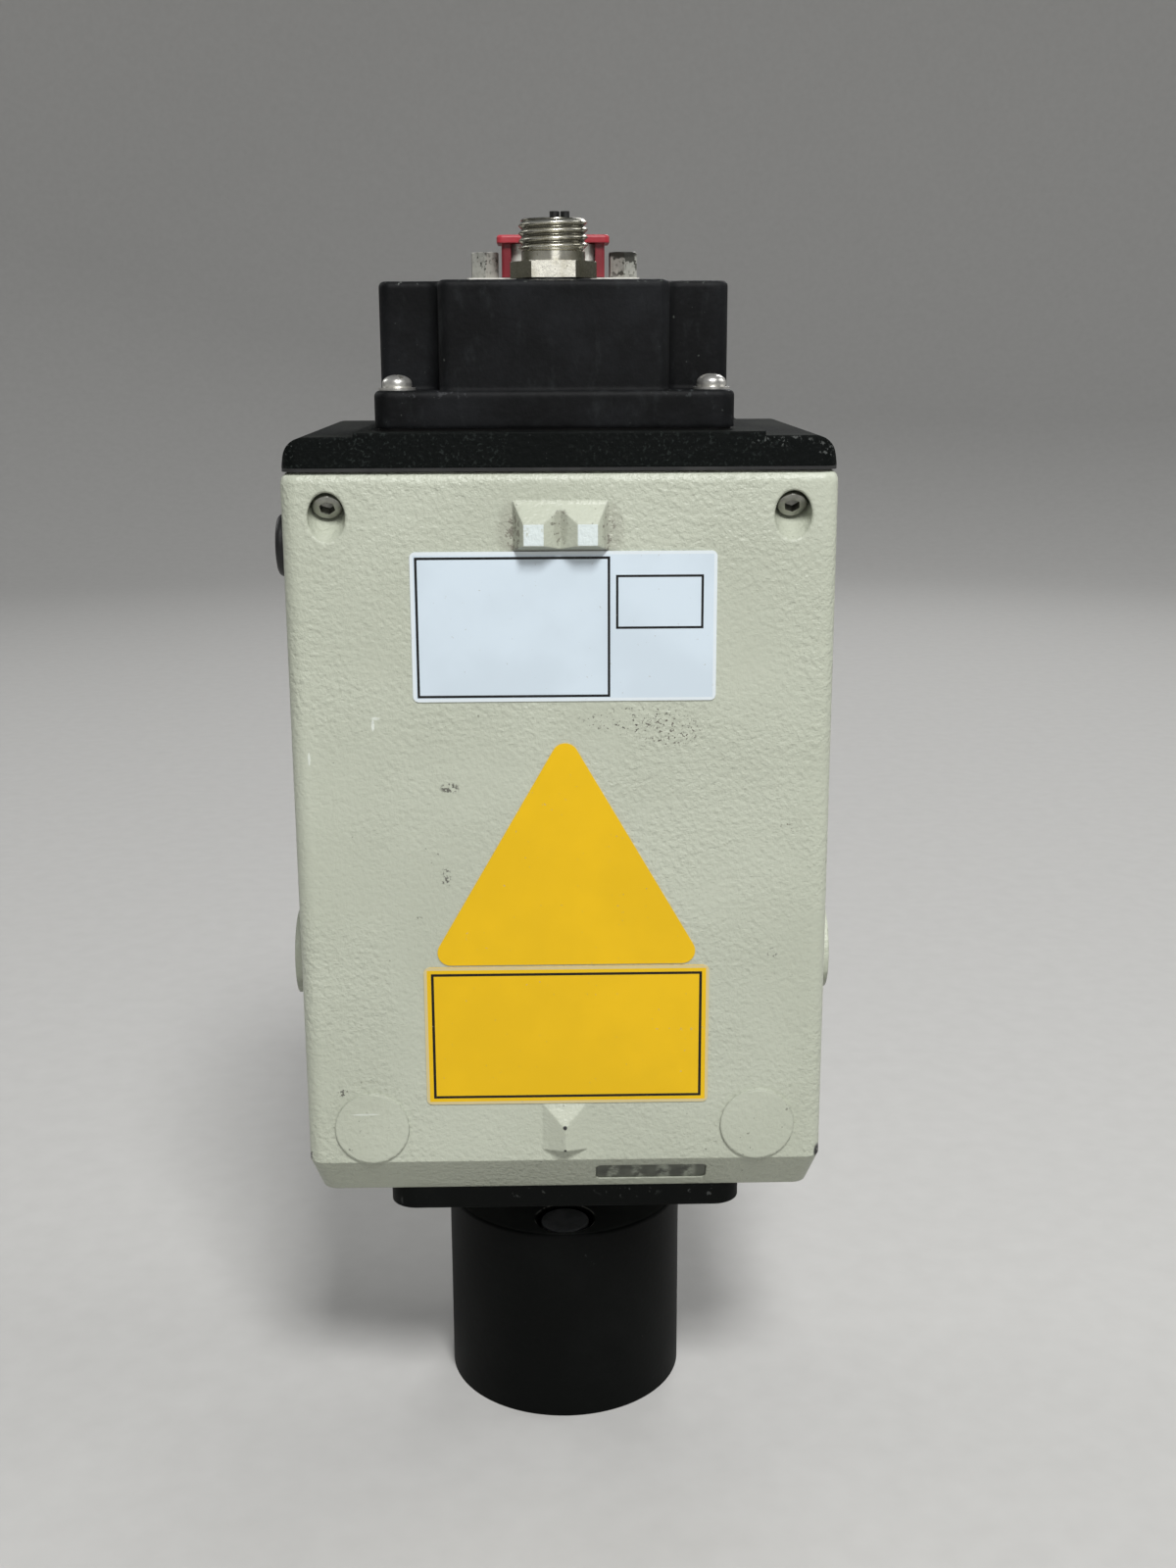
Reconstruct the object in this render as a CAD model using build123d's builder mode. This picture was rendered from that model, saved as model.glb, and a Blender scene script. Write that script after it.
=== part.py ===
from build123d import *
from math import cos, hypot, pi, radians, sin, tan
import os

# Laser distance meter, standing on the rim of its lens barrel with the connectors up.
# The barrel's axis is Z, its rim lies in Z = 0 and the labelled face looks along -Y.
# All sizes are in millimetres.

# Clearances
fit_gap = 0.05
board_gap = 0.5
cap_slide_gap = 0.15

# Cast housing
body_width = 95.8
body_depth = 76.0
body_height = 134.8
body_wall = 3.5
body_floor = 5.0
body_corner_radius = 3.0
body_top_edge_radius = 2.0
bevel_height = 7.4
bevel_front_depth = 4.5
bevel_side_depth = 1.7

# Lens barrel, a drum, and its mounting flange with a flared neck
drum_height = 40.5
drum_radius = 24.0
drum_roof = 7.5
drum_edge_radius = 0.8
barrel_wall = 2.5
hood_bore_length = 25.0
lens_step = 0.7
neck_height = 11.2
neck_plug_gap = 0.6
neck_top_radius = 21.0
flange_size = 66.8
flange_thickness = 4.4
flange_corner_radius = 5.0
neck_wall = 2.6
spigot_step = 1.1
spigot_length = 4.5
flange_screw_edge = 6.4
flange_head_radius = 4.0
flange_screw_radius = 2.0
flange_head_height = 2.2
flange_thread_tip_gap = 0.8

# Adjuster plug in the drum's ledge
plug_radius = 4.8
plug_ring_gap = 1.0
plug_edge_gap = 1.2
plug_depth = 3.4
plug_recess_below_ledge = 0.3
plug_stem_radius = 2.0
plug_hole_floor = 1.3
plug_rim_chamfer = 0.3

# Objective lens and its retainer
lens_edge = 2.5
lens_bulge = 4.0
lens_seal_thickness = 0.5
lens_seal_width = 3.5
retainer_height = 4.0
retainer_width = 2.5
barrel_seal_radius = 14.0
barrel_seal_section = 0.8

# Sights on the face
sight_height = 3.5
sight_base_width = 16.4
sight_top_width = 12.8
sight_length = 8.5
sight_ramp_length = 3.6
sight_end_draft = 1.1
sight_below_top = 5.0
notch_floor = 1.3
notch_width = 5.8
ridge_height = 2.2
ridge_width = 8.3
ridge_length = 9.3
ridge_ramp_length = 4.3
ridge_end_draft = 0.5
ridge_above_bevel = 2.2

# Round pads at the foot of the face, and the mounting bosses on the sides
pad_radius = 6.85
pad_height = 0.5
pad_edge = 12.1
pad_above_bevel = 7.0
boss_radius = 8.5
boss_height = 5.3
boss_inner_depth = 4.0
boss_above_floor = 36.2
boss_thread_radius = 2.5
boss_thread_depth = 10.0

# Side plug near the rear sight
side_plug_radius = 5.5
side_plug_height = 2.2
side_plug_stem_radius = 3.0
side_plug_stem_length = 5.0
side_plug_from_face = 13.0
side_plug_below_top = 13.7

# Inclined screws that pull the rear cap onto the housing
cap_screw_angle = 37.0
cap_screw_edge = 7.9
cap_screw_below_top = 8.0
cap_screw_recess_radius = 3.2
cap_screw_mouth_edge = 0.5
cap_screw_sink = 2.9
cap_screw_head_radius = 2.75
cap_screw_head_height = 3.0
cap_screw_socket_width = 2.5
cap_screw_socket_depth = 1.6
cap_screw_radius = 1.5
cap_screw_bite = 3.4
screw_block_width = 11.0
screw_block_depth = 14.0
screw_block_height = 15.0

# Rear cap
gasket_thickness = 0.6
cap_height = 5.2
cap_inset = 0.3
cap_draft = 1.1
cap_shoulder_radius = 4.0
cap_pad_height = 0.7
cap_pad_width = 70.0
cap_slope_depth = 12.0
cap_slope_drop = 5.0
cap_pocket_screw_gap = 5.8
cap_pocket_depth = 2.4
cable_margin = 6.0

# Connector box
box_gasket_thickness = 0.5
box_base_width = 62.0
box_front_margin = 4.0
box_x = -0.8
box_base_height = 6.3
box_base_radius = 3.0
box_front_gap = 4.5
box_side_step = 0.5
box_front_step = 1.0
box_notch_width = 11.25
box_notch_length = 10.0
box_height = 18.3
box_wall = 2.5
box_edge_radius = 1.0
box_corner_radius = 2.0
box_screw_side_edge = 3.8
box_screw_front_edge = 5.0
box_screw_radius = 1.5
box_screw_head_radius = 2.55
box_screw_head_height = 2.2
box_screw_slot_width = 0.8
box_screw_slot_depth = 1.0
box_thread_floor = 1.4
washer_radius = 3.2
washer_thickness = 0.4

# Round twelve millimetre connector
connector_gap = 2.25
round_seal_thickness = 0.4
round_hex_width = 13.0
round_hex_turn = 6.0
round_hex_height = 2.8
round_collar_radius = 5.5
round_collar_height = 2.1
round_thread_radius = 6.0
round_thread_length = 4.9
round_thread_chamfer = 0.6
round_shank_radius = 5.0
round_shank_length = 7.0
round_bore_radius = 4.4
round_nut_width = 13.0
round_nut_height = 2.5
round_insert_sink = 0.5
round_key_radius = 0.85
round_key_pitch = 1.9
round_key_height = 1.3
round_key_offset = 1.2
round_contact_radius = 0.5
round_contact_circle = 2.6

# Nine-way connector
dsub_plate_end = 2.9
dsub_plate_length = 12.5
dsub_plate_thickness = 0.8
dsub_shell_width = 16.3
dsub_shell_length = 7.9
dsub_shell_height = 5.9
dsub_shell_wall = 0.5
dsub_shell_slope = 10.0
dsub_corner_radius = 1.8
dsub_body_margin = 1.3
dsub_body_height = 6.0
dsub_contact_pitch = 2.77
dsub_row_pitch = 2.84
dsub_contact_radius = 0.5
dsub_insert_sink = 0.4
jack_side_gap = 1.95
jack_width = 4.8
jack_height = 4.6
jack_turns = (30.0, 12.0)
jack_stem_radius = 1.4
jack_stem_length = 6.5
jack_thread_radius = 1.2
jack_thread_depth = 4.0
jack_nut_width = 5.0
jack_nut_height = 2.0

# Dust cap over the nine-way connector
dust_brim_width = 20.1
dust_brim_length = 11.8
dust_brim_thickness = 1.4
dust_leg_thickness = 0.9
dust_lip_reach = 0.8
dust_corner_radius = 0.5

# Interface board in the connector box
interface_side_gap = 1.75
interface_back_gap = 6.0
interface_thickness = 1.6
interface_drop = 9.0

# Optics block, mirror, laser and receiver
block_width = 36.0
block_height = 42.0
block_bore_height = 25.0
laser_radius = 6.5
laser_length = 34.0
laser_step = 0.5
collimator_radius = 4.0
collimator_thickness = 2.0
mirror_height = 15.0
mirror_length = 27.0
mirror_width = 20.0
mirror_thickness = 2.0
mirror_hole_radius = 2.5
receiver_radius = 7.0
receiver_wall = 1.2
receiver_wall_gap = 7.9
receiver_start = 12.5
detector_radius = 4.0
detector_height = 3.5
receiver_board_size = 20.0
receiver_board_thickness = 1.6
block_screw_edge = 4.0
block_screw_radius = 1.5
block_screw_head_radius = 2.75
block_screw_head_height = 3.0
block_foot_height = 5.0

# Main board on its four cast bosses
board_side_gap = 4.0
board_top_gap = 17.3
board_thickness = 1.6
board_above_floor = 6.0
board_boss_radius = 3.5
board_boss_height = 6.0
board_screw_radius = 1.5
board_screw_head_radius = 2.75
board_screw_head_height = 2.0
board_screw_length = 6.0
board_screw_edge = 5.0
chip_thickness = 2.0
chip_offset = 17.0
chip_rise = 14.0
processor_size = 18.0
driver_width = 20.0
driver_height = 8.0
driver_pitch = 18.0
converter_width = 10.0
converter_height = 6.0
header_width = 24.0
header_height = 8.0
header_depth = 6.0

# Flat cable from the interface board to the main board
cable_width = 20.0
cable_thickness = 0.9

# Status lights behind their window in the bevel
window_length = 20.8
window_width = 4.6
window_corner_radius = 0.9
window_thickness = 2.2
window_sink = 0.3
window_offset = 16.2
light_radius = 1.2
light_height = 2.4
light_pitch = 4.75
light_count = 4
light_board_width = 23.0
light_board_height = 6.0
light_board_thickness = 1.0

# Labels on the face, all plain; the triangle is measured to its sharp corners
label_thickness = 0.2
type_label_width = 53.0
type_label_height = 26.2
yellow_rectangle_pad_gap = 2.95
yellow_rectangle_height = 26.8
yellow_triangle_width = 50.3
yellow_triangle_top_gap = 5.2
yellow_triangle_radius = 2.4
label_gap = 0.4
label_sight_gap = 0.1
label_corner_radius = 1.0
label_offset = 0.5

# Widths and pitches worked out from the sizes above
cavity_width = body_width - 2 * body_wall
cavity_depth = body_depth - 2 * body_wall
drum_bore_radius = drum_radius - barrel_wall
lens_bore_radius = drum_bore_radius - lens_step
recess_radius = plug_radius + plug_ring_gap
recess_depth = plug_depth + plug_recess_below_ledge
plug_offset = drum_radius - recess_radius - plug_edge_gap
plug_stem_length = drum_roof - recess_depth - plug_hole_floor
neck_low_radius = plug_offset - recess_radius - neck_plug_gap
beam_radius = neck_low_radius - neck_wall
flange_screw_pitch = flange_size - 2 * flange_screw_edge
flange_thread_length = body_floor - flange_thread_tip_gap
pad_pitch = body_width - 2 * pad_edge
cap_screw_pitch = body_width - 2 * cap_screw_edge
cap_screw_seat = cap_screw_sink + cap_screw_head_height
cap_screw_rise = cap_screw_below_top + gasket_thickness + cap_screw_bite
cap_screw_length = cap_screw_rise / sin(radians(cap_screw_angle)) - cap_screw_seat
box_width = box_base_width - 2 * box_side_step
box_bay_width = box_base_width - 2 * box_notch_width
round_offset = (dsub_plate_length + round_hex_width) / 2 + connector_gap
box_base_length = 2 * (round_offset + round_hex_width / 2 + box_front_margin)
box_bay_length = box_base_length - 2 * box_front_step
box_core_length = box_base_length - 2 * box_notch_length
box_screw_pitch_x = box_base_width - 2 * box_screw_side_edge
box_screw_pitch_y = box_base_length - 2 * box_screw_front_edge
box_thread_length = cap_height + cap_pad_height - box_thread_floor
cap_pocket_width = box_screw_pitch_x - 2 * cap_pocket_screw_gap
cap_pocket_length = box_base_length - 2 * box_gasket_thickness
jack_pitch = dsub_shell_width + jack_width + 2 * jack_side_gap
dsub_plate_width = jack_pitch + 2 * dsub_plate_end
dsub_body_width = dsub_shell_width + 2 * dsub_body_margin
dsub_body_length = dsub_shell_length + 2 * dsub_body_margin
interface_width = box_bay_width - 2 * box_wall - 2 * interface_side_gap
interface_length = box_bay_length - 2 * box_wall - 2 * board_gap - interface_back_gap
block_screw_pitch = block_width - 2 * block_screw_edge
board_width = cavity_width - 2 * board_side_gap
board_height = body_height - body_floor - board_above_floor - board_top_gap
yellow_rectangle_width = pad_pitch - 2 * pad_radius - 2 * yellow_rectangle_pad_gap

# Levels and planes worked out from the sizes above
ledge_z = drum_height
flange_z = drum_height + neck_height
body_z = flange_z + flange_thickness
bevel_z = body_z + bevel_height
floor_z = body_z + body_floor
top_z = body_z + body_height
cap_z = top_z + gasket_thickness
cap_top_z = cap_z + cap_height
cap_pad_z = cap_top_z + cap_pad_height
box_z = cap_pad_z + box_gasket_thickness
box_base_z = box_z + box_base_height
box_top_z = box_base_z + box_height
box_roof_z = box_top_z - box_wall
face_y = -body_depth / 2
cavity_back_y = cavity_depth / 2
box_y = face_y + box_front_gap + box_base_length / 2
round_y = box_y - round_offset
dsub_plate_z = box_top_z + dsub_plate_thickness
dsub_top_z = dsub_plate_z + dsub_shell_height
interface_z = box_roof_z - interface_drop
mirror_z = floor_z + mirror_height
board_y = cavity_back_y - board_boss_height
interface_y = box_y - box_bay_length / 2 + box_wall + board_gap + interface_length / 2
cable_back_y = interface_y + interface_length / 2 - cable_thickness
cable_middle_y = cable_back_y - cable_thickness / 2
cable_opening_width = cable_width + 2 * cable_margin
cable_opening_length = cable_thickness + 2 * cable_margin
boss_z = body_z + boss_above_floor
ridge_z = bevel_z + ridge_above_bevel
sight_top_z = top_z - sight_below_top
lens_shoulder_z = drum_height - drum_roof


def write(piece, name):
    piece.part.label = name
    export_step(piece.part, f"parts/{name}.step")


def face_plane(depth=0.0):
    """Plane on the labelled face, or that deep behind it; its normal looks at the viewer."""
    return Plane.XZ.offset(-face_y - depth)


def cap_screw_plane(side, depth):
    """Plane square to one inclined screw, so far down its axis from the face."""
    tilt = radians(cap_screw_angle)
    outward = Vector(0, -cos(tilt), -sin(tilt))
    mouth = Vector(side * cap_screw_pitch / 2, face_y, top_z - cap_screw_below_top)
    return Plane(origin=mouth - outward * depth, x_dir=(1, 0, 0), z_dir=outward)


def window_plane(depth):
    """Plane parallel to the bevel at the status window, so deep behind the bevel."""
    slope = hypot(bevel_height, bevel_front_depth)
    outward = Vector(0, -bevel_height / slope, -bevel_front_depth / slope)
    middle = Vector(window_offset, face_y + bevel_front_depth / 2, body_z + bevel_height / 2)
    return Plane(origin=middle - outward * depth, x_dir=(1, 0, 0), z_dir=outward)


def dsub_corners(inset):
    """Corners of the connector's D outline, moved inwards; its wide side looks along -Y."""
    half_length = dsub_shell_length / 2 - inset
    half_wide = dsub_shell_width / 2 - inset
    half_narrow = half_wide - 2 * half_length * tan(radians(dsub_shell_slope))
    return [
        (-half_wide, -half_length),
        (half_wide, -half_length),
        (half_narrow, half_length),
        (-half_narrow, half_length),
    ]


def dsub_contact_places():
    """Five contacts in the wide row and four in the narrow row."""
    wide = [((i - 2) * dsub_contact_pitch, -dsub_row_pitch / 2) for i in range(5)]
    narrow = [((i - 1.5) * dsub_contact_pitch, dsub_row_pitch / 2) for i in range(4)]
    return wide + narrow


box_screw_places = [
    (box_x + x * box_screw_pitch_x / 2, box_y + y * box_screw_pitch_y / 2)
    for x in (-1, 1)
    for y in (-1, 1)
]
jack_places = [(box_x + side * jack_pitch / 2, box_y) for side in (-1, 1)]

# Housing: one aluminium casting, closed at the lens end and open at the rear
with BuildPart() as housing:
    with BuildSketch(Plane.XY.offset(bevel_z)):
        RectangleRounded(body_width, body_depth, body_corner_radius)
    extrude(amount=top_z - bevel_z)
    fillet(housing.faces().sort_by(Axis.Z)[-1].edges(), body_top_edge_radius)
    with BuildSketch(Plane.XY.offset(bevel_z)):
        RectangleRounded(body_width, body_depth, body_corner_radius)
    with BuildSketch(Plane.XY.offset(body_z)):
        with Locations((0, (bevel_front_depth - bevel_side_depth) / 2)):
            RectangleRounded(
                body_width - 2 * bevel_side_depth,
                body_depth - bevel_front_depth - bevel_side_depth,
                body_corner_radius,
            )
    loft()
    with BuildSketch(Plane.XY.offset(floor_z)):
        RectangleRounded(cavity_width, cavity_depth, body_corner_radius)
    extrude(amount=body_height, mode=Mode.SUBTRACT)
    # Corner blocks for the inclined screws
    with BuildSketch(Plane.XY.offset(top_z - screw_block_height)):
        for side in (-1, 1):
            with Locations((side * (cavity_width - screw_block_width) / 2, face_y + body_wall)):
                Rectangle(screw_block_width, screw_block_depth, align=(Align.CENTER, Align.MIN))
    extrude(amount=screw_block_height)
    # Bosses for the main board on the back wall
    board_hole_x = board_width / 2 - board_screw_edge
    board_low_z = floor_z + board_above_floor + board_screw_edge
    board_high_z = floor_z + board_above_floor + board_height - board_screw_edge
    board_holes = [(x, z) for x in (-board_hole_x, board_hole_x) for z in (board_low_z, board_high_z)]
    with BuildSketch(Plane.XZ.offset(-cavity_back_y)):
        with Locations(*board_holes):
            Circle(board_boss_radius)
    extrude(amount=board_boss_height)
    with BuildSketch(Plane.XZ.offset(-board_y)):
        with Locations(*board_holes):
            Circle(board_screw_radius + fit_gap)
    extrude(amount=-board_boss_height, mode=Mode.SUBTRACT)
    # Round bosses on the sides, tapped for the mounting bracket
    for side in (-1, 1):
        with BuildSketch(Plane.YZ.offset(side * (cavity_width / 2 - boss_inner_depth))):
            with Locations((0, boss_z)):
                Circle(boss_radius)
        extrude(amount=side * (boss_inner_depth + body_wall + boss_height))
        with BuildSketch(Plane.YZ.offset(side * (body_width / 2 + boss_height))):
            with Locations((0, boss_z)):
                Circle(boss_thread_radius)
        extrude(amount=-side * boss_thread_depth, mode=Mode.SUBTRACT)
    # Rear sight: a block with drafted sides, a ramp, a steep end and a V notch
    with BuildSketch(Plane.XY.offset(sight_top_z - sight_length)):
        with BuildLine():
            Polyline(
                (-sight_base_width / 2, face_y + body_wall / 2),
                (-sight_base_width / 2, face_y),
                (-sight_top_width / 2, face_y - sight_height),
                (sight_top_width / 2, face_y - sight_height),
                (sight_base_width / 2, face_y),
                (sight_base_width / 2, face_y + body_wall / 2),
                close=True,
            )
        make_face()
    extrude(amount=sight_length)
    with BuildSketch(Plane.YZ):
        with BuildLine():
            Polyline(
                (face_y, sight_top_z),
                (face_y - sight_height, sight_top_z - sight_ramp_length),
                (face_y - 2 * sight_height, sight_top_z - sight_ramp_length),
                (face_y - 2 * sight_height, sight_top_z),
                close=True,
            )
        make_face()
        with BuildLine():
            Polyline(
                (face_y, sight_top_z - sight_length),
                (face_y - sight_height, sight_top_z - sight_length + sight_end_draft),
                (face_y - 2 * sight_height, sight_top_z - sight_length + sight_end_draft),
                (face_y - 2 * sight_height, sight_top_z - sight_length),
                close=True,
            )
        make_face()
    extrude(amount=sight_base_width / 2, both=True, mode=Mode.SUBTRACT)
    notch_run = sight_height - notch_floor
    with BuildSketch(Plane.XY.offset(sight_top_z - sight_length)):
        with BuildLine():
            Polyline(
                (0, face_y - notch_floor),
                (-notch_width, face_y - notch_floor - 2 * notch_run),
                (notch_width, face_y - notch_floor - 2 * notch_run),
                close=True,
            )
        make_face()
    extrude(amount=sight_length, mode=Mode.SUBTRACT)
    # Front sight: a ridge with a ramp at its upper end
    with BuildSketch(Plane.XY.offset(ridge_z)):
        with BuildLine():
            Polyline(
                (-ridge_width / 2, face_y + body_wall / 2),
                (-ridge_width / 2, face_y),
                (0, face_y - ridge_height),
                (ridge_width / 2, face_y),
                (ridge_width / 2, face_y + body_wall / 2),
                close=True,
            )
        make_face()
    extrude(amount=ridge_length)
    with BuildSketch(Plane.YZ):
        with BuildLine():
            Polyline(
                (face_y, ridge_z + ridge_length),
                (face_y - ridge_height, ridge_z + ridge_length - ridge_ramp_length),
                (face_y - 2 * ridge_height, ridge_z + ridge_length - ridge_ramp_length),
                (face_y - 2 * ridge_height, ridge_z + ridge_length),
                close=True,
            )
        make_face()
        with BuildLine():
            Polyline(
                (face_y, ridge_z),
                (face_y - ridge_height, ridge_z + ridge_end_draft),
                (face_y - 2 * ridge_height, ridge_z + ridge_end_draft),
                (face_y - 2 * ridge_height, ridge_z),
                close=True,
            )
        make_face()
    extrude(amount=ridge_width / 2, both=True, mode=Mode.SUBTRACT)
    # Thin round pads at the foot of the face
    with BuildSketch(face_plane()):
        with Locations(*[(side * pad_pitch / 2, bevel_z + pad_above_bevel) for side in (-1, 1)]):
            Circle(pad_radius)
    extrude(amount=pad_height)
    # Recesses and clearance holes of the inclined screws
    for side in (-1, 1):
        with BuildSketch(cap_screw_plane(side, -cap_screw_recess_radius - pad_height)):
            Circle(cap_screw_recess_radius)
        extrude(amount=-cap_screw_recess_radius - pad_height - cap_screw_seat, mode=Mode.SUBTRACT)
        with BuildSketch(cap_screw_plane(side, cap_screw_seat)):
            Circle(cap_screw_radius + 4 * fit_gap)
        extrude(amount=-cap_screw_length, mode=Mode.SUBTRACT)
    mouths = []
    for edge in housing.edges():
        middle = edge.bounding_box().center()
        off_x = abs(abs(middle.X) - cap_screw_pitch / 2)
        off_z = abs(middle.Z - top_z + cap_screw_below_top)
        if abs(middle.Y - face_y) < fit_gap and max(off_x, off_z) < cap_screw_recess_radius:
            mouths.append(edge)
    fillet(mouths, cap_screw_mouth_edge)
    # Hole of the side plug
    with BuildSketch(Plane.YZ.offset(-body_width / 2)):
        with Locations((face_y + side_plug_from_face, top_z - side_plug_below_top)):
            Circle(side_plug_stem_radius + fit_gap)
    extrude(amount=side_plug_stem_length + board_gap, mode=Mode.SUBTRACT)
    # Beam passage and tapped holes in the end wall
    with BuildSketch(Plane.XY.offset(body_z)):
        Circle(beam_radius)
        with GridLocations(flange_screw_pitch, flange_screw_pitch, 2, 2):
            Circle(flange_screw_radius + fit_gap)
        with GridLocations(block_screw_pitch, block_screw_pitch, 2, 2):
            Circle(block_screw_radius + fit_gap)
    extrude(amount=body_floor, mode=Mode.SUBTRACT)
    # Status window slot and the pocket behind it
    with BuildSketch(window_plane(-pad_height)):
        RectangleRounded(window_length, window_width, window_corner_radius)
    extrude(amount=-pad_height - window_sink - window_thickness - light_height, mode=Mode.SUBTRACT)
    light_board_depth = window_sink + window_thickness + light_height
    with BuildSketch(window_plane(light_board_depth)):
        Rectangle(light_board_width + 2 * fit_gap, light_board_height + 2 * fit_gap)
    extrude(amount=-body_wall, mode=Mode.SUBTRACT)
write(housing, "housing")

# Rear cap gasket, a flat frame on the housing's rim
with BuildPart() as cap_gasket:
    with BuildSketch(Plane.XY.offset(top_z)):
        RectangleRounded(
            body_width - 2 * cap_inset, body_depth - 2 * cap_inset, body_corner_radius
        )
        RectangleRounded(cavity_width, cavity_depth, body_corner_radius, mode=Mode.SUBTRACT)
    extrude(amount=gasket_thickness)
write(cap_gasket, "cap_gasket")

# Rear cap: a casting with rounded shoulders, a low pad and a sloped back edge
with BuildPart() as rear_cap:
    cap_width = body_width - 2 * cap_inset
    cap_depth = body_depth - 2 * cap_inset
    with BuildSketch(Plane.XZ.offset(cap_depth / 2)) as cap_profile:
        with BuildLine():
            Polyline(
                (-cap_width / 2, cap_z),
                (-cap_width / 2 + cap_draft, cap_top_z),
                (cap_width / 2 - cap_draft, cap_top_z),
                (cap_width / 2, cap_z),
                close=True,
            )
        make_face()
        fillet(cap_profile.vertices().group_by(Axis.Y)[-1], cap_shoulder_radius)
    extrude(amount=-cap_depth)
    with BuildSketch(Plane.XY.offset(cap_z)):
        RectangleRounded(cap_width, cap_depth, body_corner_radius)
    extrude(amount=cap_height, mode=Mode.INTERSECT)
    with BuildSketch(Plane.XY.offset(cap_top_z)):
        with Locations((0, -cap_depth / 2)):
            Rectangle(cap_pad_width, cap_depth, align=(Align.CENTER, Align.MIN))
    extrude(amount=cap_pad_height)
    with BuildSketch(Plane.YZ):
        with BuildLine():
            Polyline(
                (cap_depth / 2 - cap_slope_depth, cap_pad_z),
                (cap_depth / 2, cap_pad_z - cap_slope_drop),
                (cap_depth / 2, cap_pad_z),
                close=True,
            )
        make_face()
    extrude(amount=cap_width, both=True, mode=Mode.SUBTRACT)
    with BuildSketch(Plane.XY.offset(cap_z)):
        with Locations((box_x, box_y)):
            Rectangle(cap_pocket_width, cap_pocket_length)
    extrude(amount=cap_pocket_depth, mode=Mode.SUBTRACT)
    with BuildSketch(Plane.XY.offset(cap_z)):
        with Locations((0, cable_middle_y)):
            Rectangle(cable_opening_width, cable_opening_length)
    extrude(amount=cap_height + cap_pad_height, mode=Mode.SUBTRACT)
    with BuildSketch(Plane.XY.offset(cap_pad_z)):
        with Locations(*box_screw_places):
            Circle(box_screw_radius + fit_gap)
    extrude(amount=-box_thread_length - board_gap, mode=Mode.SUBTRACT)
    for side in (-1, 1):
        with BuildSketch(cap_screw_plane(side, cap_screw_seat)):
            Circle(cap_screw_radius + fit_gap)
        extrude(amount=-cap_screw_length - board_gap, mode=Mode.SUBTRACT)
write(rear_cap, "rear_cap")

# Inclined socket screws
with BuildPart() as cap_screws:
    for side in (-1, 1):
        with BuildSketch(cap_screw_plane(side, cap_screw_sink)):
            Circle(cap_screw_head_radius)
            RegularPolygon(
                cap_screw_socket_width / 2, 6, major_radius=False, mode=Mode.SUBTRACT
            )
        extrude(amount=-cap_screw_socket_depth)
        with BuildSketch(cap_screw_plane(side, cap_screw_sink + cap_screw_socket_depth)):
            Circle(cap_screw_head_radius)
        extrude(amount=-cap_screw_head_height + cap_screw_socket_depth)
        with BuildSketch(cap_screw_plane(side, cap_screw_seat)):
            Circle(cap_screw_radius)
        extrude(amount=-cap_screw_length)
write(cap_screws, "cap_screws")

# Gasket under the connector box
with BuildPart() as box_gasket:
    with BuildSketch(Plane.XY.offset(cap_pad_z)):
        with Locations((box_x, box_y)):
            RectangleRounded(box_base_width - 1, box_base_length - 1, box_base_radius)
        with Locations((0, cable_middle_y)):
            Rectangle(cable_opening_width, cable_opening_length, mode=Mode.SUBTRACT)
        with Locations(*box_screw_places):
            Circle(box_screw_radius + 4 * fit_gap, mode=Mode.SUBTRACT)
    extrude(amount=box_gasket_thickness)
write(box_gasket, "box_gasket")

# Connector box: base flange and a box whose four corners are cut back for the screws
with BuildPart() as connector_box:
    with BuildSketch(Plane.XY.offset(box_z)):
        with Locations((box_x, box_y)):
            RectangleRounded(box_base_width, box_base_length, box_base_radius)
    extrude(amount=box_base_height)
    fillet(connector_box.faces().sort_by(Axis.Z)[-1].edges(), box_edge_radius)
    with BuildSketch(Plane.XY.offset(box_base_z)) as box_outline:
        with Locations((box_x, box_y)):
            Rectangle(box_width, box_core_length)
            Rectangle(box_bay_width, box_bay_length)
        fillet(box_outline.vertices(), box_corner_radius)
    extrude(amount=box_height)
    fillet(connector_box.faces().sort_by(Axis.Z)[-1].edges(), box_edge_radius)
    with BuildSketch(Plane.XY.offset(box_z)):
        with Locations((box_x, box_y)):
            Rectangle(box_width - 2 * box_wall, box_core_length - 2 * box_wall)
            Rectangle(box_bay_width - 2 * box_wall, box_bay_length - 2 * box_wall)
    extrude(amount=box_roof_z - box_z, mode=Mode.SUBTRACT)
    with BuildSketch(Plane.XY.offset(box_z)):
        with Locations(*box_screw_places):
            Circle(box_screw_radius + 4 * fit_gap)
    extrude(amount=box_base_height, mode=Mode.SUBTRACT)
    with BuildSketch(Plane.XY.offset(box_roof_z)):
        with Locations((box_x, round_y)):
            Circle(round_shank_radius + fit_gap)
        with Locations((box_x, box_y)):
            Rectangle(dsub_body_width + 2 * fit_gap, dsub_body_length + 2 * fit_gap)
        with Locations(*jack_places):
            Circle(jack_stem_radius + fit_gap)
    extrude(amount=box_wall, mode=Mode.SUBTRACT)
write(connector_box, "connector_box")

# Washers and domed screws at the corners of the connector box
with BuildPart() as box_washers:
    with BuildSketch(Plane.XY.offset(box_base_z)):
        with Locations(*box_screw_places):
            Circle(washer_radius)
            Circle(box_screw_radius + fit_gap, mode=Mode.SUBTRACT)
    extrude(amount=washer_thickness)
write(box_washers, "box_washers")

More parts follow.
